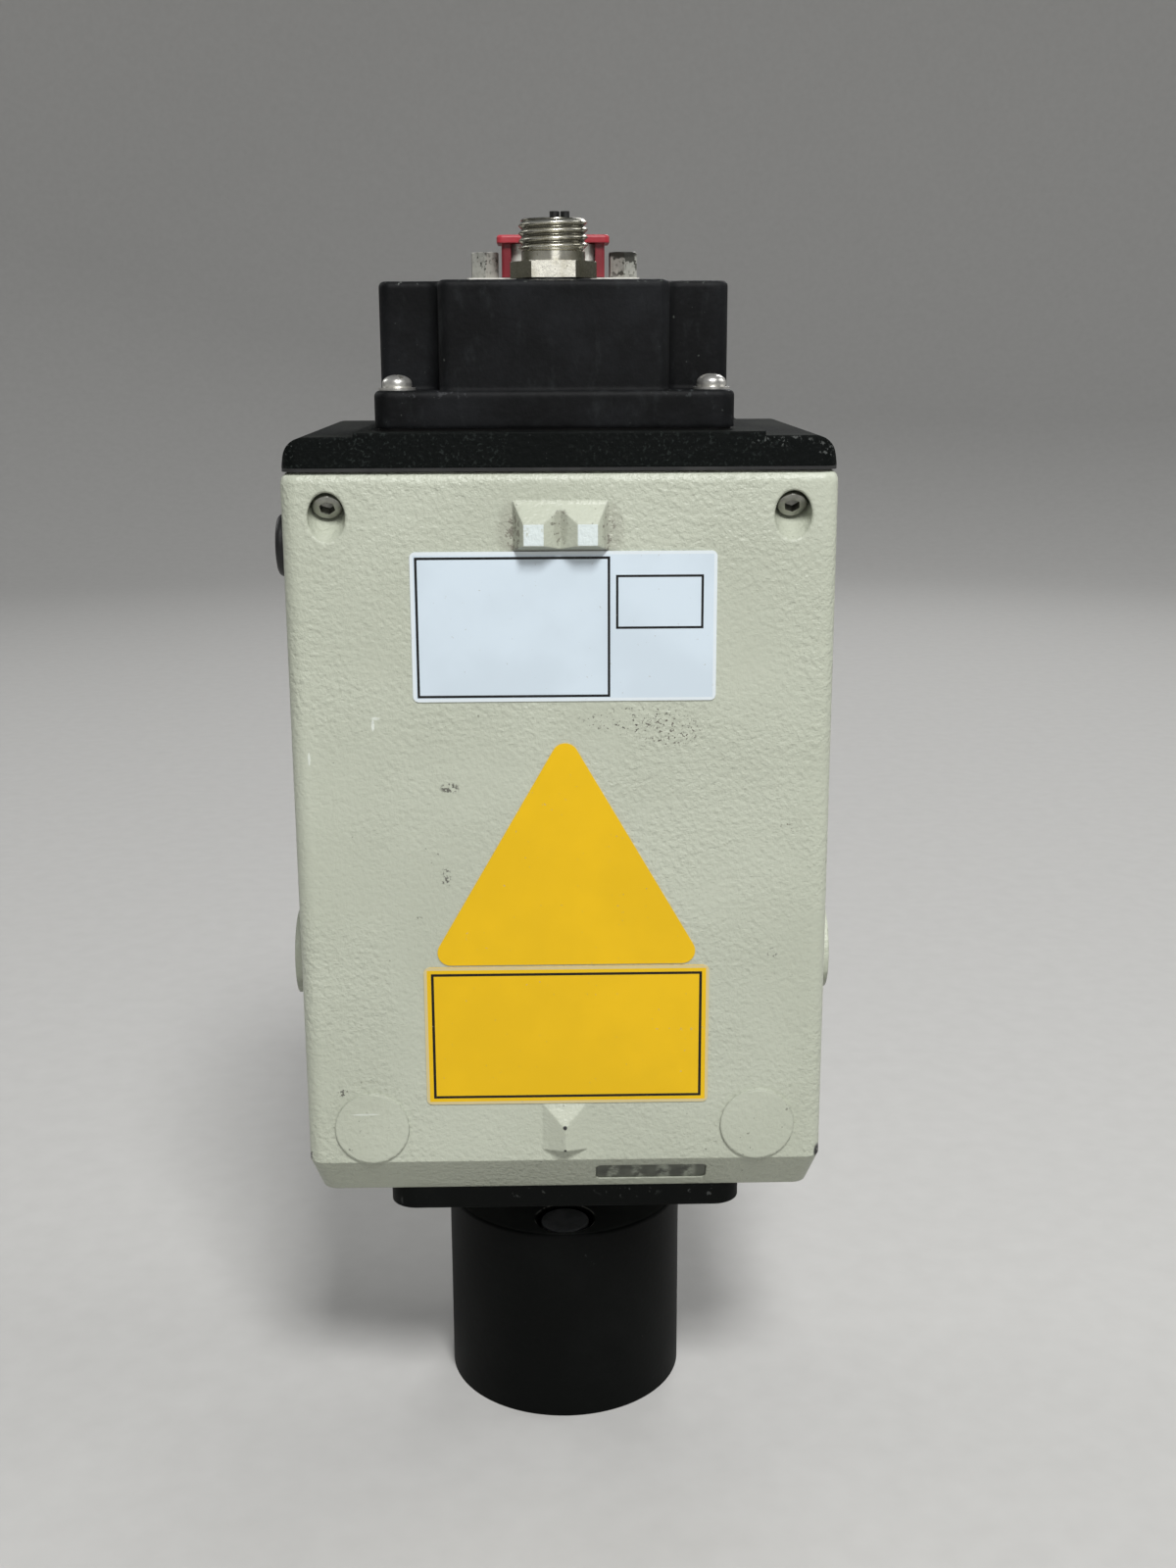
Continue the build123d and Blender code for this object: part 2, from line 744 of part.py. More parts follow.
with BuildPart() as box_screws:
    head_z = box_base_z + washer_thickness
    with BuildSketch(Plane.XY.offset(head_z)):
        with Locations(*box_screw_places):
            Circle(box_screw_head_radius)
    extrude(amount=box_screw_head_height)
    fillet(box_screws.faces().filter_by(Plane.XY).group_by(Axis.Z)[-1].edges(), box_screw_head_height * 0.45)
    with BuildSketch(Plane.XY.offset(head_z + box_screw_head_height)):
        with Locations(*box_screw_places):
            Rectangle(box_screw_slot_width, 2 * box_screw_head_radius)
    extrude(amount=-box_screw_slot_depth, mode=Mode.SUBTRACT)
    with BuildSketch(Plane.XY.offset(head_z)):
        with Locations(*box_screw_places):
            Circle(box_screw_radius)
    extrude(amount=-(head_z - cap_pad_z) - box_thread_length)
write(box_screws, "box_screws")

# Round connector: hexagon, plain collar, threaded end and a shank through the box roof
round_seat_z = box_top_z + round_seal_thickness
round_collar_z = round_seat_z + round_hex_height
round_thread_z = round_collar_z + round_collar_height
round_top_z = round_thread_z + round_thread_length
with BuildPart() as round_seal:
    with BuildSketch(Plane.XY.offset(box_top_z)):
        with Locations((box_x, round_y)):
            Circle(round_hex_width / 2 - fit_gap)
            Circle(round_shank_radius + fit_gap, mode=Mode.SUBTRACT)
    extrude(amount=round_seal_thickness)
write(round_seal, "round_seal")

with BuildPart() as round_connector:
    with BuildSketch(Plane.XY.offset(round_seat_z)):
        with Locations((box_x, round_y)):
            RegularPolygon(round_hex_width / 2, 6, major_radius=False, rotation=round_hex_turn)
    extrude(amount=round_hex_height)
    with BuildSketch(Plane.XY.offset(round_collar_z)):
        with Locations((box_x, round_y)):
            Circle(round_collar_radius)
    extrude(amount=round_collar_height)
    with BuildSketch(Plane.XY.offset(round_thread_z)):
        with Locations((box_x, round_y)):
            Circle(round_thread_radius)
    extrude(amount=round_thread_length)
    chamfer(round_connector.faces().sort_by(Axis.Z)[-1].edges(), round_thread_chamfer)
    with BuildSketch(Plane.XY.offset(round_seat_z)):
        with Locations((box_x, round_y)):
            Circle(round_shank_radius)
    extrude(amount=-round_shank_length - round_seal_thickness)
    with BuildSketch(Plane.XY.offset(round_top_z)):
        with Locations((box_x, round_y)):
            Circle(round_bore_radius)
    extrude(amount=-(round_top_z - box_top_z) - round_shank_length, mode=Mode.SUBTRACT)
write(round_connector, "round_connector")

with BuildPart() as round_nut:
    with BuildSketch(Plane.XY.offset(box_roof_z)):
        with Locations((box_x, round_y)):
            RegularPolygon(round_nut_width / 2, 6, major_radius=False)
            Circle(round_shank_radius + fit_gap, mode=Mode.SUBTRACT)
    extrude(amount=-round_nut_height)
write(round_nut, "round_nut")

round_contact_places = [
    (
        box_x + round_contact_circle * cos(2 * pi * i / 5),
        round_y + round_contact_circle * sin(2 * pi * i / 5),
    )
    for i in range(5)
]
round_insert_z = round_top_z - round_insert_sink
round_insert_low_z = box_top_z - round_shank_length
with BuildPart() as round_insert:
    with BuildSketch(Plane.XY.offset(round_insert_low_z)):
        with Locations((box_x, round_y)):
            Circle(round_bore_radius - fit_gap)
        with Locations(*round_contact_places):
            Circle(round_contact_radius + fit_gap, mode=Mode.SUBTRACT)
    extrude(amount=round_insert_z - round_insert_low_z)
    key_x = box_x + round_key_offset
    with BuildSketch(Plane.XY.offset(round_insert_z)):
        with Locations((key_x - round_key_pitch / 2, round_y), (key_x + round_key_pitch / 2, round_y)):
            Circle(round_key_radius)
        with Locations(*round_contact_places):
            Circle(round_contact_radius + fit_gap, mode=Mode.SUBTRACT)
    extrude(amount=round_insert_sink + round_key_height)
write(round_insert, "round_insert")

with BuildPart() as round_contacts:
    with BuildSketch(Plane.XY.offset(interface_z - board_gap)):
        with Locations(*round_contact_places):
            Circle(round_contact_radius)
    extrude(amount=round_insert_z - board_gap - interface_z)
write(round_contacts, "round_contacts")

# Nine-way connector: folded metal shell, moulded body and contacts
with BuildPart() as dsub_shell:
    with BuildSketch(Plane.XY.offset(box_top_z)):
        with Locations((box_x, box_y)):
            RectangleRounded(dsub_plate_width, dsub_plate_length, dust_corner_radius)
        with Locations(*jack_places):
            Circle(jack_stem_radius + fit_gap, mode=Mode.SUBTRACT)
    extrude(amount=dsub_plate_thickness)
    with BuildSketch(Plane((box_x, box_y, dsub_plate_z))) as shell_outer:
        with BuildLine():
            Polyline(*dsub_corners(0), close=True)
        make_face()
        fillet(shell_outer.vertices(), dsub_corner_radius)
    extrude(amount=dsub_shell_height)
    with BuildSketch(Plane((box_x, box_y, box_top_z))) as shell_inner:
        with BuildLine():
            Polyline(*dsub_corners(dsub_shell_wall), close=True)
        make_face()
        fillet(shell_inner.vertices(), dsub_corner_radius - dsub_shell_wall)
    extrude(amount=dsub_top_z - box_top_z, mode=Mode.SUBTRACT)
write(dsub_shell, "dsub_shell")

with BuildPart() as dsub_body:
    with BuildSketch(Plane((box_x, box_y, box_top_z))) as body_outline:
        with BuildLine():
            Polyline(*dsub_corners(dsub_shell_wall + fit_gap), close=True)
        make_face()
        fillet(body_outline.vertices(), dsub_corner_radius - dsub_shell_wall - fit_gap)
    extrude(amount=dsub_top_z - dsub_insert_sink - box_top_z)
    with BuildSketch(Plane.XY.offset(box_top_z)):
        with Locations((box_x, box_y)):
            Rectangle(dsub_body_width, dsub_body_length)
    extrude(amount=-dsub_body_height)
    with BuildSketch(Plane((box_x, box_y, box_top_z - dsub_body_height))):
        with Locations(*dsub_contact_places()):
            Circle(dsub_contact_radius + fit_gap)
    extrude(amount=dsub_top_z - box_top_z + dsub_body_height, mode=Mode.SUBTRACT)
write(dsub_body, "dsub_body")

with BuildPart() as dsub_contacts:
    with BuildSketch(Plane((box_x, box_y, interface_z - board_gap))):
        with Locations(*dsub_contact_places()):
            Circle(dsub_contact_radius)
    extrude(amount=dsub_top_z - dsub_insert_sink - interface_z)
write(dsub_contacts, "dsub_contacts")

# Hexagonal jack screws and their nuts under the roof
with BuildPart() as jack_screws:
    with BuildSketch(Plane.XY.offset(dsub_plate_z)):
        with Locations(jack_places[0]):
            RegularPolygon(jack_width / 2, 6, major_radius=False, rotation=jack_turns[0])
        with Locations(jack_places[1]):
            RegularPolygon(jack_width / 2, 6, major_radius=False, rotation=jack_turns[1])
    extrude(amount=jack_height)
    with BuildSketch(Plane.XY.offset(dsub_plate_z)):
        with Locations(*jack_places):
            Circle(jack_stem_radius)
    extrude(amount=-jack_stem_length)
    with BuildSketch(Plane.XY.offset(dsub_plate_z + jack_height)):
        with Locations(*jack_places):
            Circle(jack_thread_radius)
    extrude(amount=-jack_thread_depth, mode=Mode.SUBTRACT)
write(jack_screws, "jack_screws")

with BuildPart() as jack_nuts:
    with BuildSketch(Plane.XY.offset(box_roof_z)):
        with Locations(*jack_places):
            RegularPolygon(jack_nut_width / 2, 6, major_radius=False, rotation=jack_turns[0])
            Circle(jack_stem_radius + fit_gap, mode=Mode.SUBTRACT)
    extrude(amount=-jack_nut_height)
write(jack_nuts, "jack_nuts")

# Dust cap: a brim over the nine-way connector and a C-shaped leg round each end of its shell
dust_inner_x = dsub_shell_width / 2 + cap_slide_gap
dust_inner_y = dsub_shell_length / 2 + cap_slide_gap
dust_low_z = dsub_plate_z + 2 * fit_gap
dust_brim_z = dsub_top_z + 2 * fit_gap
with BuildPart() as dust_cap:
    with BuildSketch(Plane.XY.offset(dust_brim_z)):
        with Locations((box_x, box_y)):
            RectangleRounded(dust_brim_width, dust_brim_length, 2 * dust_corner_radius)
    extrude(amount=dust_brim_thickness)
    with BuildSketch(Plane.XY.offset(dust_low_z)):
        with Locations((box_x, box_y)):
            RectangleRounded(
                2 * (dust_inner_x + dust_leg_thickness),
                2 * (dust_inner_y + dust_leg_thickness),
                dust_corner_radius,
            )
            Rectangle(2 * dust_inner_x, 2 * dust_inner_y, mode=Mode.SUBTRACT)
            Rectangle(2 * (dust_inner_x - dust_lip_reach), dust_brim_length, mode=Mode.SUBTRACT)
    extrude(amount=dust_brim_z - dust_low_z)
    fillet(dust_cap.faces().sort_by(Axis.Z)[-1].edges(), dust_corner_radius)
write(dust_cap, "dust_cap")

# Interface board, carried by the contacts of both connectors
with BuildPart() as interface_board:
    with BuildSketch(Plane.XY.offset(interface_z)):
        with Locations((box_x, interface_y)):
            Rectangle(interface_width, interface_length)
        with Locations(*round_contact_places):
            Circle(round_contact_radius + fit_gap, mode=Mode.SUBTRACT)
        with Locations(*[(x + box_x, y + box_y) for x, y in dsub_contact_places()]):
            Circle(dsub_contact_radius + fit_gap, mode=Mode.SUBTRACT)
    extrude(amount=interface_thickness)
write(interface_board, "interface_board")

# Lens barrel: a drum with a thick roof, whose upper face is the ledge
spigot_radius = neck_low_radius - spigot_step
with BuildPart() as lens_barrel:
    with BuildSketch(Plane.XY):
        Circle(drum_radius)
    extrude(amount=drum_height)
    fillet(lens_barrel.faces().sort_by(Axis.Z)[-1].edges(), drum_edge_radius)
    with BuildSketch(Plane.XY):
        Circle(drum_bore_radius)
    extrude(amount=hood_bore_length, mode=Mode.SUBTRACT)
    with BuildSketch(Plane.XY):
        Circle(lens_bore_radius)
    extrude(amount=lens_shoulder_z, mode=Mode.SUBTRACT)
    with BuildSketch(Plane.XY):
        Circle(beam_radius)
    extrude(amount=ledge_z, mode=Mode.SUBTRACT)
    # Seat of the neck's spigot
    with BuildSketch(Plane.XY.offset(ledge_z)):
        Circle(spigot_radius + fit_gap)
    extrude(amount=-spigot_length - fit_gap, mode=Mode.SUBTRACT)
    # Recess and tapped hole of the adjuster plug
    with BuildSketch(Plane.XY.offset(ledge_z)):
        with Locations((0, -plug_offset)):
            Circle(recess_radius)
    extrude(amount=-recess_depth, mode=Mode.SUBTRACT)
    with BuildSketch(Plane.XY.offset(ledge_z)):
        with Locations((0, -plug_offset)):
            Circle(recess_radius + plug_rim_chamfer)
    with BuildSketch(Plane.XY.offset(ledge_z - plug_rim_chamfer)):
        with Locations((0, -plug_offset)):
            Circle(recess_radius)
    loft(mode=Mode.SUBTRACT)
    with BuildSketch(Plane.XY.offset(ledge_z - recess_depth)):
        with Locations((0, -plug_offset)):
            Circle(plug_stem_radius + fit_gap)
    extrude(amount=-plug_stem_length, mode=Mode.SUBTRACT)
write(lens_barrel, "lens_barrel")

# Mounting flange: its flared neck screws into the drum's roof with a short spigot
with BuildPart() as barrel_flange:
    with BuildSketch(Plane.XY.offset(ledge_z)):
        Circle(neck_low_radius)
    with BuildSketch(Plane.XY.offset(flange_z)):
        Circle(neck_top_radius)
    loft()
    with BuildSketch(Plane.XY.offset(ledge_z)):
        Circle(spigot_radius)
    extrude(amount=-spigot_length)
    with BuildSketch(Plane.XY.offset(flange_z)):
        RectangleRounded(flange_size, flange_size, flange_corner_radius)
    extrude(amount=flange_thickness)
    with BuildSketch(Plane.XY.offset(ledge_z - spigot_length)):
        Circle(beam_radius)
    extrude(amount=body_z - ledge_z + spigot_length, mode=Mode.SUBTRACT)
    # Countersunk holes through the flange
    with BuildSketch(Plane.XY.offset(flange_z)):
        with GridLocations(flange_screw_pitch, flange_screw_pitch, 2, 2):
            Circle(flange_screw_radius + 2 * fit_gap)
    extrude(amount=flange_thickness, mode=Mode.SUBTRACT)
    sink_radius = flange_head_radius + fit_gap
    for x in (-flange_screw_pitch / 2, flange_screw_pitch / 2):
        for y in (-flange_screw_pitch / 2, flange_screw_pitch / 2):
            with BuildSketch(Plane((x, y, flange_z))):
                Circle(sink_radius)
            with BuildSketch(Plane((x, y, flange_z + flange_head_height))):
                Circle(flange_screw_radius + 2 * fit_gap)
            loft(mode=Mode.SUBTRACT)
    # Groove of the ring seal in the flange's upper face
    with BuildSketch(Plane.XY.offset(body_z)):
        Circle(barrel_seal_radius + barrel_seal_section)
        Circle(barrel_seal_radius - barrel_seal_section, mode=Mode.SUBTRACT)
    extrude(amount=-2 * barrel_seal_section, mode=Mode.SUBTRACT)
write(barrel_flange, "barrel_flange")

with BuildPart() as barrel_seal:
    with BuildSketch(Plane.XZ):
        with Locations((barrel_seal_radius, body_z - barrel_seal_section)):
            Circle(barrel_seal_section - fit_gap)
    revolve(axis=Axis.Z)
write(barrel_seal, "barrel_seal")

# Countersunk screws of the flange
with BuildPart() as flange_screws:
    for x in (-flange_screw_pitch / 2, flange_screw_pitch / 2):
        for y in (-flange_screw_pitch / 2, flange_screw_pitch / 2):
            with BuildSketch(Plane((x, y, flange_z))):
                Circle(flange_head_radius)
            with BuildSketch(Plane((x, y, flange_z + flange_head_height))):
                Circle(flange_screw_radius)
            loft()
    with BuildSketch(Plane.XY.offset(flange_z + flange_head_height)):
        with GridLocations(flange_screw_pitch, flange_screw_pitch, 2, 2):
            Circle(flange_screw_radius)
    extrude(amount=flange_thickness - flange_head_height + flange_thread_length)
    with BuildSketch(Plane.XY.offset(flange_z)):
        with GridLocations(flange_screw_pitch, flange_screw_pitch, 2, 2):
            RegularPolygon(cap_screw_socket_width / 2, 6, major_radius=False)
    extrude(amount=cap_screw_socket_depth, mode=Mode.SUBTRACT)
write(flange_screws, "flange_screws")

# Adjuster plug, a low disc with a stem
with BuildPart() as adjuster_plug:
    plug_low_z = ledge_z - recess_depth
    with BuildSketch(Plane.XY.offset(plug_low_z)):
        with Locations((0, -plug_offset)):
            Circle(plug_radius)
    extrude(amount=plug_depth)
    fillet(adjuster_plug.faces().sort_by(Axis.Z)[-1].edges(), plug_rim_chamfer)
    with BuildSketch(Plane.XY.offset(plug_low_z)):
        with Locations((0, -plug_offset)):
            Circle(plug_stem_radius)
    extrude(amount=-plug_stem_length)
write(adjuster_plug, "adjuster_plug")

# Objective lens, its flat seal against the shoulder and its threaded retainer
lens_top_z = lens_shoulder_z - lens_seal_thickness
lens_radius = lens_bore_radius - fit_gap
with BuildPart() as lens_seal:
    with BuildSketch(Plane.XY.offset(lens_top_z)):
        Circle(lens_radius)
        Circle(lens_radius - lens_seal_width, mode=Mode.SUBTRACT)
    extrude(amount=lens_seal_thickness)
write(lens_seal, "lens_seal")

with BuildPart() as objective_lens:
    with BuildSketch(Plane.XZ):
        with BuildLine():
            Polyline(
                (0, lens_top_z - lens_edge - lens_bulge),
                (0, lens_top_z),
                (lens_radius, lens_top_z),
                (lens_radius, lens_top_z - lens_edge),
                (lens_radius - retainer_width, lens_top_z - lens_edge),
            )
            bulge_radius = ((lens_radius - retainer_width) ** 2 + lens_bulge ** 2) / (2 * lens_bulge)
            RadiusArc(
                (lens_radius - retainer_width, lens_top_z - lens_edge),
                (0, lens_top_z - lens_edge - lens_bulge),
                bulge_radius,
            )
        make_face()
    revolve(axis=Axis.Z)
write(objective_lens, "objective_lens")

with BuildPart() as lens_retainer:
    with BuildSketch(Plane.XY.offset(lens_top_z - lens_edge)):
        Circle(lens_radius)
        Circle(lens_radius - retainer_width + fit_gap, mode=Mode.SUBTRACT)
    extrude(amount=-retainer_height)
write(lens_retainer, "lens_retainer")

# Optics block on the end wall, with the beam bore, the receiver bore and the mirror slot
with BuildPart() as optics_block:
    with BuildSketch(Plane.XY.offset(floor_z)):
        Rectangle(block_width, block_width)
    extrude(amount=block_height)
    with BuildSketch(Plane.XY.offset(floor_z)):
        Circle(beam_radius)
    extrude(amount=block_bore_height, mode=Mode.SUBTRACT)
    with BuildSketch(Plane.XY.offset(floor_z + block_bore_height)):
        Circle(laser_radius + fit_gap)
    extrude(amount=block_height, mode=Mode.SUBTRACT)
    with BuildSketch(Plane.YZ):
        with Locations((0, mirror_z)):
            Circle(receiver_radius + fit_gap)
    extrude(amount=block_width, mode=Mode.SUBTRACT)
    mirror_plane = Plane((0, 0, mirror_z), x_dir=(1, 0, 1), z_dir=(1, 0, -1))
    with BuildSketch(mirror_plane):
        with Locations((0, -mirror_width / 2)):
            Rectangle(
                mirror_length + 2 * fit_gap,
                mirror_width / 2 + block_width,
                align=(Align.CENTER, Align.MIN),
            )
    extrude(amount=mirror_thickness / 2 + fit_gap, both=True, mode=Mode.SUBTRACT)
    # Cut-back corners that leave a foot for each of the four screws
    with BuildSketch(Plane.XY.offset(floor_z + block_foot_height)):
        with GridLocations(block_width, block_width, 2, 2):
            Rectangle(
                block_width - block_screw_pitch + 2 * block_screw_head_radius,
                block_width - block_screw_pitch + 2 * block_screw_head_radius,
            )
    extrude(amount=block_height, mode=Mode.SUBTRACT)
    with BuildSketch(Plane.XY.offset(floor_z)):
        with GridLocations(block_screw_pitch, block_screw_pitch, 2, 2):
            Circle(block_screw_radius + fit_gap)
    extrude(amount=block_foot_height, mode=Mode.SUBTRACT)
write(optics_block, "optics_block")

with BuildPart() as block_screws:
    foot_z = floor_z + block_foot_height
    with BuildSketch(Plane.XY.offset(foot_z)):
        with GridLocations(block_screw_pitch, block_screw_pitch, 2, 2):
            Circle(block_screw_head_radius - 2 * fit_gap)
            RegularPolygon(cap_screw_socket_width / 2, 6, major_radius=False, mode=Mode.SUBTRACT)
    extrude(amount=block_screw_head_height)
    with BuildSketch(Plane.XY.offset(foot_z)):
        with GridLocations(block_screw_pitch, block_screw_pitch, 2, 2):
            Circle(block_screw_radius)
    extrude(amount=-block_foot_height - body_floor + board_gap)
    with BuildSketch(Plane.XY.offset(foot_z)):
        with GridLocations(block_screw_pitch, block_screw_pitch, 2, 2):
            Circle(block_screw_head_radius - 2 * fit_gap)
    extrude(amount=block_screw_head_height - cap_screw_socket_depth)
write(block_screws, "block_screws")

# Mirror with a hole that lets the outgoing beam through
with BuildPart() as split_mirror:
    with BuildSketch(mirror_plane):
        Rectangle(mirror_length, mirror_width)
    extrude(amount=mirror_thickness / 2, both=True)
    with BuildSketch(Plane.XY.offset(mirror_z)):
        Circle(mirror_hole_radius)
    extrude(amount=mirror_length, both=True, mode=Mode.SUBTRACT)
write(split_mirror, "split_mirror")

# Laser module and its collimating lens
laser_z = floor_z + block_bore_height + laser_step
with BuildPart() as laser_module:
    with BuildSketch(Plane.XY.offset(laser_z)):
        Circle(laser_radius)
    extrude(amount=laser_length)
    with BuildSketch(Plane.XY.offset(laser_z)):
        Circle(collimator_radius)
    extrude(amount=laser_length / 2, mode=Mode.SUBTRACT)
write(laser_module, "laser_module")

with BuildPart() as collimator_lens:
    with BuildSketch(Plane.XY.offset(laser_z + laser_step)):
        Circle(collimator_radius - fit_gap)
    extrude(amount=collimator_thickness)
write(collimator_lens, "collimator_lens")

# Receiver tube, detector and its small board
receiver_end_x = cavity_width / 2 - receiver_board_thickness - receiver_wall_gap
receiver_length = receiver_end_x - receiver_start
with BuildPart() as receiver_tube:
    with BuildSketch(Plane.YZ.offset(receiver_start)):
        with Locations((0, mirror_z)):
            Circle(receiver_radius)
            Circle(receiver_radius - receiver_wall, mode=Mode.SUBTRACT)
    extrude(amount=receiver_length)
write(receiver_tube, "receiver_tube")

with BuildPart() as receiver_board:
    with BuildSketch(Plane.YZ.offset(receiver_end_x)):
        with Locations((0, mirror_z)):
            Rectangle(receiver_board_size, receiver_board_size)
    extrude(amount=receiver_board_thickness)
write(receiver_board, "receiver_board")

with BuildPart() as detector:
    with BuildSketch(Plane.YZ.offset(receiver_end_x)):
        with Locations((0, mirror_z)):
            Circle(detector_radius)
    extrude(amount=-detector_height)
write(detector, "detector")

# Main board, its screws and what stands on it
board_middle_z = floor_z + board_above_floor + board_height / 2
with BuildPart() as main_board:
    with BuildSketch(Plane.XZ.offset(-board_y)):
        with Locations((0, board_middle_z)):
            Rectangle(board_width, board_height)
        with Locations(*board_holes):
            Circle(board_screw_radius + fit_gap, mode=Mode.SUBTRACT)
    extrude(amount=board_thickness)
write(main_board, "main_board")

board_front_y = board_y - board_thickness
with BuildPart() as board_screws:
    with BuildSketch(Plane.XZ.offset(-board_front_y)):
        with Locations(*board_holes):
            Circle(board_screw_head_radius)
    extrude(amount=board_screw_head_height)
    with BuildSketch(Plane.XZ.offset(-board_front_y)):
        with Locations(*board_holes):
            Circle(board_screw_radius)
    extrude(amount=-board_screw_length)
write(board_screws, "board_screws")

with BuildPart() as board_chips:
    with BuildSketch(Plane.XZ.offset(-board_front_y)):
        with Locations((-chip_offset, board_middle_z + chip_rise)):
            Rectangle(processor_size, processor_size)
        with Locations(*[(chip_offset, board_middle_z + side * driver_pitch / 2) for side in (-1, 1)]):
            Rectangle(driver_width, driver_height)
        with Locations((-chip_offset, board_middle_z - chip_rise)):
            Rectangle(converter_width, converter_height)
    extrude(amount=chip_thickness)
write(board_chips, "board_chips")

header_z = floor_z + board_above_floor + board_height - board_screw_edge - header_height
header_front_y = board_front_y - header_depth
with BuildPart() as cable_header:
    with BuildSketch(Plane.XZ.offset(-board_front_y)):
        with Locations((0, header_z)):
            Rectangle(header_width, header_height)
    extrude(amount=header_depth)
write(cable_header, "cable_header")

# Flat cable: down from the interface board, across, and down again to the header's top
cable_bend_z = cap_z - 2 * cable_thickness
cable_end_y = header_front_y + header_depth / 2
with BuildPart() as flat_cable:
    with BuildSketch(Plane.YZ):
        with BuildLine():
            Polyline(
                (cable_back_y, interface_z),
                (cable_back_y, cable_bend_z),
                (cable_end_y, cable_bend_z),
                (cable_end_y, header_z + header_height / 2),
                (cable_end_y - cable_thickness, header_z + header_height / 2),
                (cable_end_y - cable_thickness, cable_bend_z - cable_thickness),
                (cable_back_y - cable_thickness, cable_bend_z - cable_thickness),
                (cable_back_y - cable_thickness, interface_z),
                close=True,
            )
        make_face()
    extrude(amount=cable_width / 2, both=True)
write(flat_cable, "flat_cable")

# Status window, the four lights behind it and their board
with BuildPart() as status_window:
    with BuildSketch(window_plane(window_sink)):
        RectangleRounded(
            window_length - 2 * fit_gap, window_width - 2 * fit_gap, window_corner_radius - fit_gap
        )
    extrude(amount=-window_thickness)
write(status_window, "status_window")

light_places = [((i - (light_count - 1) / 2) * light_pitch, 0) for i in range(light_count)]
with BuildPart() as status_lights:
    with BuildSketch(window_plane(light_board_depth)):
        with Locations(*light_places):
            Circle(light_radius)
    extrude(amount=light_height - fit_gap)
    fillet(
        status_lights.faces().filter_by(lambda face: face.normal_at().Y < -0.5).edges(),
        light_radius * 0.6,
    )
write(status_lights, "status_lights")

with BuildPart() as light_board:
    with BuildSketch(window_plane(light_board_depth)):
        Rectangle(light_board_width, light_board_height)
    extrude(amount=-light_board_thickness)
write(light_board, "light_board")

# Side plug
with BuildPart() as side_plug:
    with BuildSketch(Plane.YZ.offset(-body_width / 2)):
        with Locations((face_y + side_plug_from_face, top_z - side_plug_below_top)):
            Circle(side_plug_radius)
    extrude(amount=-side_plug_height)
    fillet(side_plug.faces().sort_by(Axis.X)[0].edges(), side_plug_height * 0.4)
    with BuildSketch(Plane.YZ.offset(-body_width / 2)):
        with Locations((face_y + side_plug_from_face, top_z - side_plug_below_top)):
            Circle(side_plug_stem_radius)
    extrude(amount=side_plug_stem_length)
write(side_plug, "side_plug")

# Plain self-adhesive labels
type_label_z = sight_top_z - sight_length - label_sight_gap - type_label_height / 2
with BuildPart() as type_label:
    with BuildSketch(face_plane()):
        with Locations((label_offset, type_label_z)):
            RectangleRounded(type_label_width, type_label_height, label_corner_radius)
    extrude(amount=label_thickness)
write(type_label, "type_label")

rectangle_z = ridge_z + ridge_length + label_sight_gap + yellow_rectangle_height / 2
with BuildPart() as rectangle_label:
    with BuildSketch(face_plane()):
        with Locations((label_offset, rectangle_z)):
            RectangleRounded(yellow_rectangle_width, yellow_rectangle_height, label_corner_radius)
    extrude(amount=label_thickness)
write(rectangle_label, "rectangle_label")

triangle_z = rectangle_z + yellow_rectangle_height / 2 + label_gap
triangle_top_z = type_label_z - type_label_height / 2 - yellow_triangle_top_gap
with BuildPart() as triangle_label:
    with BuildSketch(face_plane()) as triangle_outline:
        with BuildLine():
            Polyline(
                (label_offset - yellow_triangle_width / 2, triangle_z),
                (label_offset + yellow_triangle_width / 2, triangle_z),
                (label_offset, triangle_top_z),
                close=True,
            )
        make_face()
        fillet(triangle_outline.vertices(), yellow_triangle_radius)
    extrude(amount=label_thickness)
write(triangle_label, "triangle_label")
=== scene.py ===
"""Looks of a laser distance meter that stands on the rim of its lens barrel."""

import math

import bmesh
import bpy
from mathutils import Matrix, Vector


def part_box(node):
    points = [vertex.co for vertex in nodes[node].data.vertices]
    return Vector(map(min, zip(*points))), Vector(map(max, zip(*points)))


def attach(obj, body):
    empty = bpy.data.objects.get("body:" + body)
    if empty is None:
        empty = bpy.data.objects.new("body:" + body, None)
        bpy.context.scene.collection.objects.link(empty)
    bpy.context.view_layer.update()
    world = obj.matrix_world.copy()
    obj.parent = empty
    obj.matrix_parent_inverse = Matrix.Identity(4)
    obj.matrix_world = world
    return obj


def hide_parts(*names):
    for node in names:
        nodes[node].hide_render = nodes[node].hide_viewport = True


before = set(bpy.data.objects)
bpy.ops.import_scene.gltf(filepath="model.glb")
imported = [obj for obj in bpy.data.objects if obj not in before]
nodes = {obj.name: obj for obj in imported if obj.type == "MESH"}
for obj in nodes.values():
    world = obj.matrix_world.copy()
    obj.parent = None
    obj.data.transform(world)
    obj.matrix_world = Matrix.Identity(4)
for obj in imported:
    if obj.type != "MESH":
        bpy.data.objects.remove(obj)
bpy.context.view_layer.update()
mm = 0.001


# Surroundings: a round studio cove in pale paper, floor and backdrop in one. Five soft lamps
# stand round it, and the camera looks down on the meter a little, as in the photograph.
def as_object(name, mesh, crease=35):
    """Turns mesh work into an object, smooth where faces meet at less than the crease angle."""
    data = bpy.data.meshes.new(name)
    mesh.to_mesh(data)
    mesh.free()
    data.shade_smooth()
    data.set_sharp_from_angle(angle=math.radians(crease))
    piece = bpy.data.objects.new(name, data)
    bpy.context.scene.collection.objects.link(piece)
    return piece


